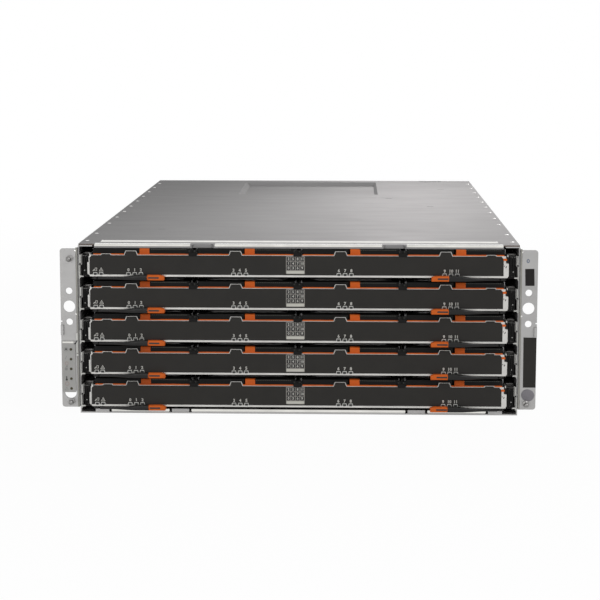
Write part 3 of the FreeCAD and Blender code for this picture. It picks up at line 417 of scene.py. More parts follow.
def print_pieces():
    """Numbers, pictograms and arches of the light windows."""
    figure = bmesh.new()
    front = EAR - PROUD
    for i, x in enumerate(window_spots()[len(PAIR):]):
        figures(figure, str(i), 3.1, x, NUMBER_LEVEL, front, EAR, 0.045)
    arrow, triangle = PAIR
    x = triangle
    stroke(figure, [(x - 1.9, 5.5), (x + 1.9, 5.5), (x, 8.9)], 0.5, Y, front, EAR, closed=True)
    stroke(figure, [(x, 6.2), (x, 7.4)], 0.6, Y, front, EAR)
    x = arrow
    stroke(figure, [(x - 0.6, 5.9), (x + 0.1, 8.6), (x + 1.7, 8.6), (x + 1.5, 6.1),
                    (x + 0.3, 6.1)], 0.55, Y, front, EAR)
    stroke(figure, [(x - 2.2, 5.6), (x - 0.9, 7.2)], 0.9, Y, front, EAR)
    arches = bmesh.new()
    dark = bmesh.new()
    for x in window_spots():
        stroke(arches, [(x - 2.2, 1.9), (x - 1.7, 4.1), (x + 1.7, 4.1), (x + 2.2, 1.9)],
               0.55, Y, EAR - 0.25, EAR + 0.4)
        prism(dark, rounded(x - 1.25, x + 1.25, 1.5, 3.6, 0.3), Y, EAR - 0.12, EAR + 0.6)
    return [trim("window_print", figure, "print_light", "panel_grey"),
            trim("window_arches", arches, "bare_edge", "tray_steel"),
            trim("window_openings", dark, "window_dark", "label_black")]


def legend_pieces():
    """The numbered map of the drawer's bays, on a grey plate with a bare strip below."""
    left, right, low, high = LEGEND
    plate = bmesh.new()
    prism(plate, rounded(left, right, low, high, 0.9), Y, EAR - 0.22, EAR)
    strip = bmesh.new()
    prism(strip, rounded(left + 0.5, right - 0.5, low + 0.4, low + 3.2, 0.5), Y,
          EAR - 0.28, EAR - 0.2)
    cells = bmesh.new()
    digits = bmesh.new()
    columns, rows = 4, 3
    pitch_x = (right - left - 0.8) / columns
    pitch_z = (high - low - 4.2) / rows
    for column in range(columns):
        for row in range(rows):
            x = left + 0.4 + (column + 0.5) * pitch_x
            z = low + 3.7 + (row + 0.5) * pitch_z
            prism(cells, rounded(x - 1.95, x + 1.95, z - 2.0, z + 2.0, 0.7, 3), Y,
                  EAR - 0.3, EAR - 0.2)
            number = str(rows * column + row)
            figures(digits, number, 2.6, x, z, EAR - 0.36, EAR - 0.3, 0.03)
    return [trim("legend_plate", plate, "legend_grey", "panel_grey"),
            trim("legend_strip", strip, "legend_pale", "panel_grey"),
            trim("legend_cells", cells, "window_dark", "label_black"),
            trim("legend_numbers", digits, "print_light", "panel_grey")]


def edge_pieces():
    """Orange strips that show over the front's upper edge, and the label's black rim."""
    strips = bmesh.new()
    half = 48.6
    for column in COLUMNS:
        prism(strips, rounded(column - half, column + half, 16, PANEL_TOP + 1.0, 0.5, 2), Y,
              PANEL_BACK + 0.2, CARRIER_FACE)
    inset, left, right = 0.65, -209.6, 205
    level = PANEL_TOP - inset
    humps = [(-END_HUMP_MIDDLE, *END_HUMP)]
    humps += [(x + HUMP_OFFSET, *HUMP) for x in COLUMNS]
    humps += [(END_HUMP_MIDDLE, *END_HUMP)]
    points = [(left, level)]
    for x, rise, foot, top in humps:
        foot -= inset
        top -= inset
        points += [(x - foot, level), (x - top, level + rise),
                   (x + top, level + rise), (x + foot, level)]
    points.append((right, level))
    rim = bmesh.new()
    stroke(rim, points, 0.5, Y, EAR + 0.05, EAR + 0.39)
    return [trim("orange_strips", strips, "orange_plastic", "orange_plastic"),
            trim("label_rim", rim, "label_black", "label_black")]


def clip_pieces():
    """Black clips over the front's upper edge at each divider, with two posts, and grey ticks that
    paint the glints on the posts' edges.
    """
    clips = bmesh.new()
    marks = bmesh.new()
    shift = 0.5                  # the clips sit a little left of the dividers
    for divider in DIVIDERS:
        x = divider - shift
        prism(clips, rounded(x - 4.2, x + 4.2, PANEL_TOP - 1.3, PANEL_TOP + 2.2, 0.4, 2), Y,
              EAR - 0.35, PANEL_BACK)
        prism(clips, rounded(x - 1.6, x + 1.6, PANEL_TOP + 1.6, 25.4, 0.3, 2), Y,
              EAR + 0.4, PANEL_BACK)
        for side in (-1, 1):
            middle = x + side * 2.6
            prism(clips, rounded(middle - 1.5, middle + 1.5, PANEL_TOP + 1.6, 27.2, 0.5, 3), Y,
                  EAR - 0.35, PANEL_BACK)
            # Painted glints: a grey tick on the left edge of each post, where its edge catches the
            # light.
            stroke(marks, [(middle - 0.9, 25.4), (middle - 0.9, 26.7)], 0.25, Y,
                   EAR - 0.42, EAR - 0.3)
    return [trim("divider_clips", clips, "black_plastic", "black_plastic", bevel=0.15),
            trim("divider_post_glints", marks, "glint_grey", "tray_steel")]


def ridge_pieces():
    """Fine ridges along the carriers' fronts, and a row of grey dashes that paint the glints on
    their knurled edge.
    """
    ridges = bmesh.new()
    dashes = bmesh.new()
    step, length = 2.15, 1.3
    for column in COLUMNS:
        for left, right in ((column - 46, column - 3), (column + 9, column + 46)):
            for low, high, depth in ((24.6, 25.1, 0.5), (26.2, 26.6, 0.7)):
                prism(ridges, rounded(left, right, low, high, 0.2, 2), Y,
                      CARRIER_FACE - depth, CARRIER_FACE)
        # Painted glints: grey dashes where the light catches the teeth of the knurled row.
        start = column + 10
        for i in range(17):
            x = start + step * i
            prism(dashes, rounded(x, x + length, 27.15, 27.55, 0.15, 2), Y,
                  CARRIER_FACE - 0.35, CARRIER_FACE)
    return [trim("carrier_ridges", ridges, "black_plastic", "black_plastic"),
            trim("carrier_dash_glints", dashes, "glint_grey", "black_plastic")]


def latch_mesh():
    """Orange latches with fine upright ribs, one on each disk carrier."""
    bm = bmesh.new()
    for row in ROWS:
        face = CARRIER_FACE + row - 0.6
        for column in LATCH_COLUMNS:
            left, right = column - 2, column + 8
            side = [(face, 15.6), (face, 27.0), (face + 0.3, 27.8), (face + 1.0, 28.2),
                    (face + 2, LATCH_TOP), (face + 7.1, LATCH_TOP), (face + 7.5, 27.9),
                    (face + 7.5, 15), (face + 0.6, 15)]
            prism(bm, side, X, left, right)
            for i in range(7):
                x = left + 0.8 + 1.4 * i
                rib = [(face - 0.3, 16.4), (face - 0.3, 26.6), (face + 0.1, 27.4),
                       (face + 0.6, 27.4), (face + 0.6, 16.2)]
                prism(bm, rib, X, x - 0.32, x + 0.32)
    return shaped("latches", bm, "orange_plastic")


def smooth(value, start, end):
    """0 before start, 1 after end, and an even blend between."""
    t = min(1, max(0, (value - start) / (end - start)))
    return t * t * (3 - 2 * t)


def lever_section(x, front, top):
    """A lever's section across X: arm under the drawer, finger pad in front of it."""
    low, shelf, back = LEVER_LOW, LEVER_SHELF, EAR + 5.2
    gap = EAR - 0.4
    top = max(top, shelf + 0.05)
    crown = min(1.0, (top - low) / 3)
    rear = min(0.4, (top - shelf) / 2)
    points = arc(front + 0.8, low + 0.8, 0.8, 270, 180, 3)
    points += arc(front + crown, top - crown, crown, 180, 90, 4)
    points += arc(gap - rear, top - rear, rear, 90, 0, 3)
    points += [(gap + 0.02, shelf), (back - 0.5, shelf), (back, shelf - 0.5),
               (back, low + 0.5), (back - 0.5, low)]
    return [(x, y, z) for y, z in points]


def lever_pieces(side):
    """One release lever: black arm with its eye, orange tip, and a flat dark patch that paints the
    shade of the slot in the tip.
    """
    arm = bmesh.new()
    tip = bmesh.new()
    slot = bmesh.new()
    sections = []
    for i in range(35):
        x = 151.9 + 1.5 * i
        front = EAR - LEVER_REACH + 5.7 * smooth(x, 164, 192)
        top = LEVER_TOP - 2.6 * smooth(x, 158, 186)
        sections.append([(side * a, b, c) for a, b, c in lever_section(x, front, top)])
    loft(arm, sections)
    pivot = (side * 206, EAR + 7)
    stroke(arm, circle(*pivot, 3.5, 24), 2.8, Z, LEVER_LOW, LEVER_SHELF, closed=True)
    shift = 0.9 if side < 0 else 0
    sections = []
    for x in (134.4, 134.6, 135.0, 135.6, 136.6, 138.0, 140.0, 145.0, 151.4, 151.8):
        front = EAR - LEVER_REACH + 0.7 * (1 - smooth(x, 134.0, 135.2))
        top = LEVER_TOP - 1.1 * (1 - smooth(x, 133.8, 138.5))
        sections.append([(side * (a + shift), b, c) for a, b, c in lever_section(x, front, top)])
    loft(tip, sections)
    left, right = sorted((side * 140.4, side * 151.2))
    # Painted shade: a flat dark patch on the tip's front where its slot lies in shade.
    prism(slot, rounded(left, right, -1.2, 0.4, 0.5), Y, EAR - 6.58, EAR - 6.0)
    return [trim("arm", arm, "lever_plastic", "lever_plastic", 40),
            trim("tip", tip, "orange_plastic", "orange_plastic", 40),
            trim("slot", slot, "window_dark", "label_black")]


def end_pieces():
    """Details at the ends of a drawer's front: orange stub, black clip, pits, and side strip."""
    stub = bmesh.new()
    prism(stub, rounded(206.4, 210.0, 17.6, 19.7, 0.5), Y, EAR - 0.5, EAR + 0.4)
    clip = bmesh.new()
    prism(clip, [(209.2, 15.2), (212.0, 14.6), (212.0, 20.2), (210.2, 22.0), (209.2, 22.0)], Y,
          EAR - 0.1, EAR + 0.4)
    for x, z in ((207.6, 12.1), (209.6, 11.5), (209.1, 10.6)):
        prism(clip, circle(x, z, 0.5, 10), Y, EAR + 0.3, EAR + 0.4)
    for x, way in ((-211.1, 1), (206.8, -1)):
        prism(clip, [(x, 2.0), (x + way * 2.1, 2.0), (x, 4.1)], Y, EAR, EAR + 0.4)
    edge = bmesh.new()
    prism(edge, [(-213.4, 2.6), (-211.6, 1.4), (-211.6, 15.2), (-213.4, 14.2)], Y,
          EAR + 0.4, PANEL_BACK)
    return [trim("end_stub", stub, "orange_plastic", "orange_plastic"),
            trim("end_clips", clip, "black_plastic", "black_plastic"),
            trim("end_edge", edge, "tray_steel", "tray_steel")]


def cap_mesh(*caps):
    """Black end caps of a pair of slides, given as edges and the bulge of an upright bar."""
    bm = bmesh.new()
    front, back = EAR + 6.8, EAR + 7.9
    for near, far, bulge in caps:
        for side in (-1, 1):
            left, right = sorted((side * near, side * far))
            prism(bm, rounded(left, right, 0.3, 20.1, 0.6, 3), Y, front, back)
            middle = (left + right) / 2
            if bulge:
                prism(bm, rounded(middle - 0.7, middle + 0.7, 8.5, 19.6, 0.6, 3), Y,
                      front - bulge, EAR + 6.9)
    return shaped("slide_caps", bm, "black_plastic", bevel=0.15)


def lid_pieces():
    """Stepped lids, blank labels and screws on top of the disks."""
    lids = bmesh.new()
    labels = bmesh.new()
    screws = bmesh.new()
    top = 27.1
    first = 17.4                 # from the labels' plane to the first row of disks
    half, waist = 42, 30
    for row in ROWS:
        start = EAR + first + row
        for column in COLUMNS:
            lid = [(column - half, start + 70), (column + half, start + 70),
                   (column + half, start + 128), (column + waist, start + 141),
                   (column - waist, start + 141), (column - half, start + 128)]
            prism(lids, lid, Z, top, top + 0.45)
            prism(lids, circle(column, start + 98, 17, 32), Z, top + 0.45, top + 0.7)
            prism(lids, rounded(column - 38, column + 38, start + 10, start + 62, 3), Z,
                  top, top + 0.3)
            prism(labels, rounded(column - 34, column + 34, start + 14, start + 58, 1), Z,
                  top + 0.3, top + 0.36)
            for x, y in ((-38, 66), (38, 66), (-46, 74), (46, 74), (-44, 138), (44, 138)):
                lathe(screws, (column + x, start + y), Z,
                      [(0, top + 0.7), (1.2, top + 0.66), (1.7, top + 0.35), (1.7, top)], 12)
    return [trim("disk_lids", lids, "disk_aluminium", "disk_aluminium"),
            trim("disk_labels", labels, "paper_white", "panel_grey"),
            trim("disk_screws", screws, "bright_metal", "bright_metal")]


def make_drawers():
    """Give every drawer its trim, slide caps, latches and levers, from shared meshes."""
    on_drawer = (print_pieces() + legend_pieces() + edge_pieces() + clip_pieces()
                 + ridge_pieces() + end_pieces() + lid_pieces())
    latches = latch_mesh()
    levers = {"left": lever_pieces(-1), "right": lever_pieces(1)}
    rail_caps = cap_mesh((212.4, 216.0, 1.2), (216.2, 218.1, 0.6))
    slide_caps = cap_mesh((218.25, 219.6, 0))
    for n in DRAWERS:
        body = "drawer_%d" % n
        lift = underside(n)
        for name, mesh, slot in on_drawer:
            placed(body + "_" + name, mesh, body, lift)
        placed(body + "_rail_caps", rail_caps, body, lift)
        placed(body + "_slide_caps", slide_caps, body + "_middle_slides", lift)
        placed(body + "_latch_ribs", latches, body, lift, [body + "_latches"])
        for side, pieces in levers.items():
            lever = body + "_lever_" + side
            for name, mesh, slot in pieces:
                placed(lever + "_" + name, mesh, lever, lift,
                       [lever] if name == "arm" else [])


# ---------------------------------------------------------------- ears, studs and rivets

def make_ears():
    """Marks, blank labels, rivets and plugs on the two ears."""
    steel = bmesh.new()
    for side in (-1, 1):
        for z in (103, 168):
            lathe(steel, (side * 225.6, z), Y, [(0, EAR - 0.5), (0.8, EAR - 0.42), (1.2, EAR)], 14)
    fitted("ear_rivets", steel, "bright_metal", "casing")
    disc = bmesh.new()
    prism(disc, circle(233.8, 21.8, 6.1, 40), Y, EAR - 0.25, EAR)
    prism(disc, circle(232.55, 22.225, 5.9, 40), Y, EAR + 0.05, EAR + 1.4)
    fitted("ear_plug", disc, "plug_grey", "casing", bevel=0.2)
    for name, finish_name, outline in (
            ("ear_patch", "patch_dark",
             [(228.9, 134.3), (238.1, 134.3), (237.6, 151.6), (228.4, 151.4)]),
            ("ear_label", "label_black",
             [(228.3, 30.0), (241.2, 30.0), (241.2, 81.4), (228.0, 81.6)])):
        sheet = bmesh.new()
        prism(sheet, outline, Y, EAR - 0.12, EAR)
        fitted(name, sheet, finish_name, "casing")
    ring = bmesh.new()
    stroke(ring, [(231.3 + 1.15 * math.cos(t), 159.5 + 1.5 * math.sin(t))
                  for t in [math.tau * i / 20 for i in range(20)]], 0.75, Y, EAR - 0.3, EAR, True)
    fitted("ear_ring", ring, "ring_blue", "casing")


def make_front_edges():
    """Slide lips and feet in the gaps beside the drawers, and mirror-bright strips that paint the
    highlights of the cover's folded edges.
    """
    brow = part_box("base_pan")[0].y * 1000
    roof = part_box("top_cover_front")[1].z * 1000 - 0.5
    # Painted highlights: mirror-bright strips on the upper half of the brow, on the raised hem and
    # the brow's top edge, and on the upper half of the lower lip, where the folded sheet catches
    # the light.
    bright = bmesh.new()
    hems = ((-206.6, -109.5), (-84.5, 84.5), (109.5, 206.6))
    for left, right in hems:
        prism(bright, rounded(left, right, roof - 2.0, roof - 0.1, 0.4, 2), Y, brow - 0.3, brow)
    prism(bright, [(brow + 19.5, roof), (brow + 21, roof + 0.4), (brow + 32.9, roof + 0.5),
                   (brow + 33.1, roof)], X, -203, 203)
    for left, right in hems:
        prism(bright, [(brow - 0.1, roof - 0.3), (brow + 0.4, roof + 0.15),
                       (brow + 9.0, roof + 0.2), (brow + 9.4, roof)], X, left, right)
    for left, right in ((-191.5, -132.0), (-109.5, 109.5), (132.0, 191.5)):
        prism(bright, rounded(left, right, 2.2, 4.5, 0.4, 2), Y, brow - 0.3, brow)
    fitted("cover_edge_highlights", bright, "highlight_strip_steel", "casing")
    dark = bmesh.new()
    steel = bmesh.new()
    for n in DRAWERS:
        base = underside(n) * 1000
        for side in (-1, 1):
            left, right = sorted((side * 213.4, side * 218.9))
            prism(dark, rounded(left, right, base - 1.4, base, 0.2, 2), Y, EAR + 7.0, EAR + 7.95)
            for near, far, low, high, front, back in ((220.9, 222.1, 12.8, 21.6, 4.2, 7.95),
                                                      (221.7, 223.2, -0.6, 11.0, 4.0, 5.0)):
                left, right = sorted((side * near, side * far))
                prism(steel, rounded(left, right, base + low, base + high, 0.2, 2), Y,
                      EAR + front, EAR + back)
            foot = [(side * 218.0, base - 0.1), (side * 223.0, base + 0.6),
                    (side * 223.0, base - 4.4), (side * 221.6, base - 2.4),
                    (side * 221.0, base - 1.1), (side * 218.0, base - 1.0)]
            prism(steel, foot, Y, EAR + 3.8, EAR + 5.0)
            lathe(steel, (side * 217.2, base + 5.3), Y,
                  [(0, EAR + 6.6), (0.5, EAR + 6.7), (0.55, EAR + 7.0)], 10)
    edges = bmesh.new()
    for side in (-1, 1):
        left, right = sorted((side * 223.55, side * 225.4))
        prism(edges, rounded(left, right, EAR - 0.5, EAR + 1.2, 0.7, 3), Z, 7.4, 171.4)
    fitted("side_edges", edges, "edge_steel", "casing")
    brown = bmesh.new()
    for left, right in ((-222.9, -207.4), (207.4, 222.9)):
        prism(brown, rounded(left, right, brow + 0.2, brow + 3.7, 0.5, 2), Z,
              roof - 1.2, roof - 0.2)
    fitted("corner_gaskets", brown, "gasket_brown", "casing")
    fitted("slide_lips", dark, "black_plastic", "casing")
    fitted("slide_feet", steel, "bare_edge", "casing")


def make_status_marks():
    """Generic pictograms on the status panel, raised bright strips beside it that paint the
    highlight of the ear's bend, and a dark diagonal stroke.
    """
    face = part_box("status_panel")[0].y * 1000
    front = face - PROUD
    x = -236.4                   # middle of the column of marks
    sun, pause, ball, stem = 67.3, (49.2, 50.3), 35.8, (36, 39.4)   # heights
    dark = bmesh.new()
    prism(dark, circle(x, sun, 1.0, 14), Y, front, face)
    for i in range(8):
        t = math.tau * i / 8
        stroke(dark, [(x + 1.4 * math.cos(t), sun + 1.4 * math.sin(t)),
                      (x + 2.1 * math.cos(t), sun + 2.1 * math.sin(t))], 0.4, Y, front, face)
    for i in range(2):
        stroke(dark, [(x - 0.2 + 0.9 * i, pause[0]), (x + 0.5 + 0.9 * i, pause[1])], 0.4,
               Y, front, face)
    prism(dark, circle(x + 0.2, ball, 1.15, 14), Y, front, face)
    prism(dark, rounded(x - 0.3, x + 0.7, *stem, 0.4, 3), Y, front, face)
    fitted("status_marks", dark, "mark_grey", "casing")
    faint = bmesh.new()
    stroke(faint, [(x - 1.0, 57.0), (x + 0.4, 60.4)], 0.5, Y, front, face)
    prism(faint, rounded(x - 1.4, x + 1.4, 45.4, 48.4, 0.6, 3), Y, front, face)
    stroke(faint, [(x - 1.6, 24.9), (x + 1.8, 24.9), (x + 0.1, 27.9)], 0.4, Y, front, face, True)
    fitted("status_shapes", faint, "mark_faint", "casing")
    rings = bmesh.new()
    for shift, level, radius in ((0.6, 31.6, 1.9), (0.4, 52.6, 1.6)):
        stroke(rings, circle(x + shift, level, radius, 20), 0.4, Y, front, face, True)
    fitted("status_rings", rings, "mark_pink", "casing")
    # Painted highlight: a thin mirror-bright strip on the panel's face where its upper edge
    # catches the light.
    lip = bmesh.new()
    prism(lip, rounded(-240.0, -228.6, 73.6, 75.2, 0.4, 3), Y, face - 0.12, face)
    fitted("status_lip_highlight", lip, "highlight_strip_steel", "casing")
    # Painted highlight: two raised bright strips where the ear's bend catches the light.
    clip = bmesh.new()
    prism(clip, rounded(-226.2, -224.3, 63.2, 84, 0.5, 3), Y, EAR - 1.3, EAR)
    prism(clip, rounded(-226.4, -223.8, 60.2, 62, 0.4, 3), Y, EAR - 1.1, EAR)
    fitted("status_clip", clip, "bare_edge", "casing", bevel=0.3)
    # A dark diagonal stroke in front of the ear, beside the strips.
    dark_stroke = bmesh.new()
    stroke(dark_stroke, [(-228.2, 72.6), (-226.6, 73.2), (-224.8, 76.4)], 0.9, Y, EAR - 1.7, EAR - 1.2)
    fitted("status_dark_stroke", dark_stroke, "black_plastic", "casing", bevel=0.15)


STUDS = ((-231.45, 160.3), (-231.45, 13.2), (231.45, 13.2))
BALL = 2.7                       # radius
COVER_RIVETS = [35, 103] + [205 + 67 * i for i in range(9)]   # behind the ears' front
COVER_RIVET_SIDE = 218


def make_studs():
    """Ball studs and domed rivets as round bodies, in place of their coarse solids."""
    low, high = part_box("bezel_studs")
    tip, foot = low.y * 1000, high.y * 1000
    middle = tip + BALL
    profile = [(BALL * math.cos(t), middle + BALL * math.sin(t))
               for t in [math.radians(-90 + 12 * i) for i in range(13)]]
    profile[0] = (0, tip)
    profile += [(1.5, middle + 2.9), (1.5, foot - 1.7), (2.6, foot - 1.3), (3.2, foot - 1.0),
                (3.2, foot)]
    balls = bmesh.new()
    for centre in STUDS:
        lathe(balls, centre, Y, profile, 24)
    fitted("stud_balls", balls, "stud_steel", "casing", 40,
           stands_for=["bezel_studs"])
    base, top = [corner.z * 1000 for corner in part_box("cover_rivets")]
    profile = [(0, top), (0.9, top - 0.06), (1.6, top - 0.2),
               (2.1, base + 0.02), (2.1, base - 0.1)]
    heads = bmesh.new()
    for side in (-1, 1):
        for back in COVER_RIVETS:
            lathe(heads, (side * COVER_RIVET_SIDE, EAR + back), Z, profile, 16)
    fitted("rivet_heads", heads, "bright_metal", "casing", 60,
           stands_for=["cover_rivets"])


# ---------------------------------------------------------------- rear modules and side walls

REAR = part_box("base_pan")[1].y * 1000
DIAGONALS = (45, 135, 225, 315)  # degrees
LAMP = ((0, 0.8), (1.0, 0.6), (1.5, 0))      # radius and height over the rear face
SMALL_LAMP = ((0, 0.6), (0.8, 0.4), (1.1, 0))
LEVELS = {place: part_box("fan_module_" + place)[0].z * 1000 for place in ("lower", "upper")}


def catch_pad(node, middle, level):
    """A moulded pad over a module's spring catch."""
    pad = bmesh.new()
    prism(pad, [(REAR + 0.1, level - 0.5), (REAR + 6.6, level - 0.5), (REAR + 6.2, level + 1.2),
                (REAR + 3.6, level + 4.6), (REAR + 0.1, level + 4.6)], X,
          middle - 6.5, middle + 6.5)
    fitted(node + "_catch", pad, "orange_plastic", node, bevel=0.5)


def screw(bm, x, z, radius):
    """A domed screw head on the rear face."""
    lathe(bm, (x, z), Y, [(0, REAR + 0.9), (radius * 0.5, REAR + 0.85),
                          (radius * 0.9, REAR + 0.5), (radius, REAR)], 18)


def perforated(bm, left, right, low, high):
    """Staggered dark round discs over a rectangle, flush with the face: painted shade that stands
    in for round openings.
    """
    step, squeeze, radius = 5.2, 0.87, 1.7
    for row in range(int((high - low) / (step * squeeze)) + 1):
        shift = step / 2 if row % 2 else 0
        for i in range(int((right - left - shift) / step) + 1):
            prism(bm, circle(left + shift + i * step, low + row * step * squeeze, radius, 10), Y,
                  REAR - 0.05, REAR + 0.05)


def lamp_row(node, places, level, profile, sides):
    """Small domed lamps on a module's rear face."""
    lamps = bmesh.new()
    for x in places:
        lathe(lamps, (x, level), Y, [(radius, REAR + height) for radius, height in profile],
              sides)
    fitted(node + "_lamps", lamps, "light_pipe", node, 60)


def rear_label(node, left, right, low, high, radius):
    """A blank label on a module's rear face."""
    blank = bmesh.new()
    prism(blank, rounded(left, right, low, high, radius), Y, REAR, REAR + 0.12)
    fitted(node + "_label", blank, "paper_white", node)


def module(kind, place):
    """A rear module's node, its underside and its left and right edges in millimetres."""
    node = kind + "_" + place
    left, right = [corner.x * 1000 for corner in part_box(node)]
    return node, LEVELS[place], left, right


def make_fan_face(place):
    """Wire guard, screws, catch, label and lamps of a fan module."""
    node, low, left, right = module("fan_module", place)
    centre = (left + 41.5, low + 42)
    wire = bmesh.new()
    for radius in (6, 13, 20, 27, 34):
        hoop(wire, centre, radius, REAR + 1.4, 0.75)
    for turn in DIAGONALS:
        way = Vector((math.cos(math.radians(turn)), math.sin(math.radians(turn))))
        start, end = Vector(centre) + way * 6, Vector(centre) + way * 38.5
        stroke(wire, [start, end], 1.3, Y, REAR + 0.3, REAR + 1.5)
    fitted(node + "_guard", wire, "guard_wire", node, 50)
    heads = bmesh.new()
    for turn in DIAGONALS:
        screw(heads, centre[0] + 39 * math.cos(math.radians(turn)),
              centre[1] + 39 * math.sin(math.radians(turn)), 2.6)
    screw(heads, right - 6, low + 50, 2.4)
    fitted(node + "_screws", heads, "bright_metal", node, 60)
    catch_pad(node, right - 10, low + 74)
    rear_label(node, right - 42, right - 6, low + 22, low + 40, 1.2)
    lamp_row(node, (right - 36, right - 28), low + 60, LAMP, 14)


def make_supply_face(place):
    """Mains inlet with pins, openings, catch, label, lamps and screws of a power supply."""
    node, low, left, right = module("power_supply", place)
    middle = left + 25.75
    level = low + 18
    liner = bmesh.new()
    mouth = [(middle + x, level + z) for x, z in ((-11.5, -7.6), (11.5, -7.6), (11.5, 3.4),
                                                  (7.4, 7.6), (-7.4, 7.6), (-11.5, 3.4))]
    wall = [(middle + x, level + z) for x, z in ((-13.7, -9.9), (13.7, -9.9), (13.7, 3.9),
                                                 (13.7, 9.9), (-13.7, 9.9), (-13.7, 3.9))]
    widening = 1.22              # from the liner's wall to its brim
    brim = [(middle + widening * (x - middle), level + widening * (z - level)) for x, z in wall]
    surround(liner, wall, mouth, Y, REAR - 15.8, REAR + 0.2)
    surround(liner, brim, mouth, Y, REAR + 0.2, REAR + 1.8)
    block(liner, (middle - 12, middle + 12), (REAR - 15.9, REAR - 14.4), (level - 8, level + 8))
    fitted(node + "_inlet", liner, "black_plastic", node, bevel=0.3)
    pins = bmesh.new()
    for x, z in ((-7, -1.8), (7, -1.8), (0, 2.2)):
        prism(pins, rounded(middle + x - 1, middle + x + 1, level + z - 2, level + z + 2, 0.4), Y,
              REAR - 14.4, REAR - 4)
    fitted(node + "_pins", pins, "bright_metal", node)
    dark = bmesh.new()
    # Painted shade: black plates at the floor of the three louvre slots, 4 mm in, where the recess
    # lies in shade.
    for step in range(3):
        rise = low + 44 + 9 * step
        block(dark, (left + 10.1, right - 10.1), (REAR - 3.95, REAR - 3.4),
              (rise + 0.1, rise + 4.9))
    perforated(dark, left + 50, right - 12, low + 7, low + 24)
    fitted(node + "_openings", dark, "window_dark", node)
    catch_pad(node, right - 14, low + 74)
    rear_label(node, left + 12, left + 48, low + 74, low + 81, 1)
    lamp_row(node, (left + 56, left + 64, left + 72), low + 77.5, LAMP, 14)
    heads = bmesh.new()
    for x in (middle - 20.5, middle + 20.5):
        screw(heads, x, level, 2.2)
    fitted(node + "_screws", heads, "bright_metal", node, 60)


def make_control_face(place):
    """Port cages, lamps, openings, catch, label and screws of a control module."""
    node, low, left, right = module("control_module", place)
    cages = bmesh.new()
    tongues = bmesh.new()
    lamps = []
    level = low + 16.5
    for port in range(3):
        middle = left + 24 + 27 * port
        outer = rounded(middle - 9.4, middle + 9.4, level - 4.4, level + 4.4, 0.6, 2)
        inner = rounded(middle - 8.6, middle + 8.6, level - 3.6, level + 3.6, 0.5, 2)
        collar = rounded(middle - 10.4, middle + 10.4, level - 5.4, level + 5.4, 0.9, 2)
        surround(cages, outer, inner, Y, REAR - 17.5, REAR + 0.1)
        surround(cages, collar, inner, Y, REAR + 0.1, REAR + 0.9)
        block(tongues, (middle - 7.5, middle + 7.5), (REAR - 17.6, REAR - 4),
              (level - 0.6, level + 0.6))
        block(tongues, (middle - 8.8, middle + 8.8), (REAR - 17.9, REAR - 17.2),
              (level - 4.2, level + 4.2))
        lamps += [middle - 3, middle + 3]
    fitted(node + "_cages", cages, "bright_metal", node)
    fitted(node + "_tongues", tongues, "black_plastic", node)
    lamp_row(node, lamps, level + 9.5, SMALL_LAMP, 12)
    dark = bmesh.new()
    perforated(dark, left + 8, right - 26, low + 48, low + 74)
    fitted(node + "_openings", dark, "window_dark", node)
    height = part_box(node)[1].z * 1000 - low
    catch_pad(node, right - 16, low + height - 10)
    rear_label(node, right - 78, right - 12, low + 8, low + 22, 1.2)
    heads = bmesh.new()
    for x, z in ((left + 5, 5), (right - 5, 5), (left + 5, height - 5), (right - 5, height - 5)):
        screw(heads, x, low + z, 2.2)
    fitted(node + "_screws", heads, "bright_metal", node, 60)


SLIDE_RIVETS = (85, 215, 345, 475)           # behind the ears' front
SLIDE_RIVET_LIFT = 10.2
EAR_RIVETS = [(back, z) for back in (22, 48) for z in (24, 89, 154)]
EAR_SHEET = 1.5                  # of the ears' flanges on the side walls


def make_wall_rivets():
    """Rivet heads of the slides and of the ears on the side walls."""
    heads = bmesh.new()
    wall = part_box("base_pan")[1].x * 1000
    spots = [(EAR + back, underside(n) * 1000 + SLIDE_RIVET_LIFT, wall) for n in DRAWERS
             for back in SLIDE_RIVETS]
    spots += [(EAR + back, z, wall + EAR_SHEET) for back, z in EAR_RIVETS]
    for side in (-1, 1):
        for back, z, face in spots:
            profile = [(0, side * (face + 0.5)), (1.2, side * (face + 0.45)),
                       (2.0, side * (face + 0.2)), (2.3, side * face)]
            lathe(heads, (back, z), X, profile, 14)
    fitted("wall_rivets", heads, "bright_metal", "casing", 60)


for place in LEVELS:
    make_fan_face(place)
    make_supply_face(place)
    make_control_face(place)
make_wall_rivets()
make_drawers()
make_ears()
make_front_edges()
make_status_marks()
make_studs()


# ---------------------------------------------------------------- stage, lights and camera

def plainly_seen(tree):
    """1 for camera, glossy and transmission rays, and 0 for the rest."""
    path = add(tree, "LightPath")
    seen = path.outputs["Is Camera Ray"]
    for ray in ("Is Glossy Ray", "Is Transmission Ray"):
        either = add(tree, "Math")
        either.operation = "MAXIMUM"
        tree.links.new(seen, either.inputs[0])
        tree.links.new(path.outputs[ray], either.inputs[1])
        seen = either.outputs["Value"]
    return seen


def whitened(item):
    """Show the floor white to the camera and in reflections, wholly so away from the object."""
    tree = item.node_tree
    output = [node for node in tree.nodes if node.type == "OUTPUT_MATERIAL"][0]
    glow = add(tree, "Emission", Strength=1.0)
    part = add(tree, "Math")
    part.operation = "MULTIPLY"
    tree.links.new(plainly_seen(tree), part.inputs[0])
    place = add(tree, "TexCoord")
    length = add(tree, "VectorMath")
    length.operation = "LENGTH"
    tree.links.new(place.outputs["Object"], length.inputs[0])
    share = add(tree, "MapRange", From_Min=0.6, From_Max=1.6, To_Min=0.965, To_Max=1.0)
    tree.links.new(length.outputs["Value"], share.inputs["Value"])
    tree.links.new(share.outputs["Result"], part.inputs[1])
    mix = add(tree, "MixShader")
    tree.links.new(part.outputs["Value"], mix.inputs["Fac"])
    tree.links.new(principled(tree).outputs["BSDF"], mix.inputs[1])
    tree.links.new(glow.outputs["Emission"], mix.inputs[2])
    tree.links.new(mix.outputs["Shader"], output.inputs["Surface"])


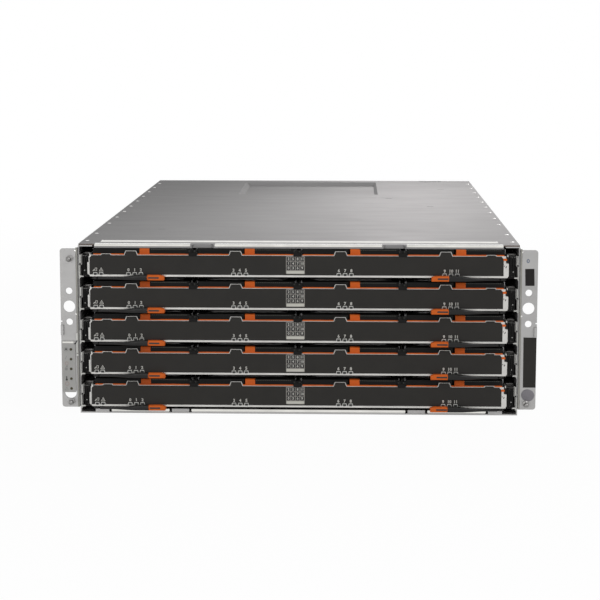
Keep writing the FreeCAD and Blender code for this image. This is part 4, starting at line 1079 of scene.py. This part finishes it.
def make_stage():
    """A white floor under the object and an even white world round it."""
    mesh = bpy.data.meshes.new("floor")
    reach, ground = 8.0, GROUND - 0.0005
    mesh.from_pydata([(-reach, -reach, ground), (reach, -reach, ground),
                      (reach, reach, ground), (-reach, reach, ground)], [], [(0, 1, 2, 3)])
    floor = bpy.data.objects.new("floor", mesh)
    bpy.context.scene.collection.objects.link(floor)
    paper = shader("stage_white", (0.80, 0.80, 0.80), 0, 0.9)
    whitened(paper)
    mesh.materials.append(paper)

    world = bpy.data.worlds.new("studio")
    bpy.context.scene.world = world
    world.use_nodes = True
    tree = world.node_tree
    back = tree.nodes["Background"]
    back.inputs["Color"].default_value = (1, 1, 1, 1)
    dim = add(tree, "MapRange", To_Min=0.35, To_Max=1.0)
    tree.links.new(plainly_seen(tree), dim.inputs["Value"])
    tree.links.new(dim.outputs["Result"], back.inputs["Strength"])


def aimed(name, lamp, place, target):
    """Put a lamp in the scene so that it faces a point."""
    item = bpy.data.objects.new(name, lamp)
    item.location = place
    item.rotation_euler = (Vector(target) - Vector(place)).to_track_quat("-Z", "Y").to_euler()
    bpy.context.scene.collection.objects.link(item)
    return item


def softbox(name, place, target, size, power):
    """A square area lamp."""
    lamp = bpy.data.lights.new(name, "AREA")
    lamp.size = size
    lamp.energy = power
    aimed(name, lamp, place, target)


def spotlight(name, place, target, angle, power, lit):
    """A lamp with a soft cone that falls on some objects only."""
    lamp = bpy.data.lights.new(name, "SPOT")
    lamp.shadow_soft_size = 0.15
    lamp.spot_size = math.radians(angle)
    lamp.spot_blend = 1.0
    lamp.energy = power
    item = aimed(name, lamp, place, target)
    receivers = bpy.data.collections.new(name)
    for piece in lit:
        receivers.objects.link(piece)
    item.light_linking.receiver_collection = receivers


def make_camera():
    """The camera of the product view: a long lens, a little above and right of the middle."""
    lens = bpy.data.cameras.new("camera")
    lens.sensor_width = 36
    lens.lens = 107.5
    lens.clip_end = 50
    item = bpy.data.objects.new("camera", lens)
    right, before, above = 0.05193, 1.79177, 0.3860
    down, roll, turn = 8.478, -0.034, 1.6035     # degrees
    item.location = (right, EAR_FACE - before, GROUND + above)
    item.rotation_euler = (math.radians(90 - down), math.radians(roll), math.radians(turn))
    bpy.context.scene.collection.objects.link(item)
    bpy.context.scene.camera = item


make_stage()
# Lamps: name, place, the point that it faces, size or angle, watts
softbox("key", (1.6, -2.2, 2.2), (0, -0.3, 0.1), 1.6, 30)
softbox("fill", (-1.0, -3.0, 0.45), (0, -0.4, 0.09), 1.2, 9)
spotlight("streak", (0.2, 2.4, 1.0), (0.155, -0.4, 0.17), 18, 650,
          [item for name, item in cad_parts.items() if name.startswith("top_cover")])
softbox("rear", (1.25, 2.8, 0.8), (0.1, 0, 0.17), 1.4, 30)
make_camera()

bpy.context.scene.view_settings.view_transform = "Standard"
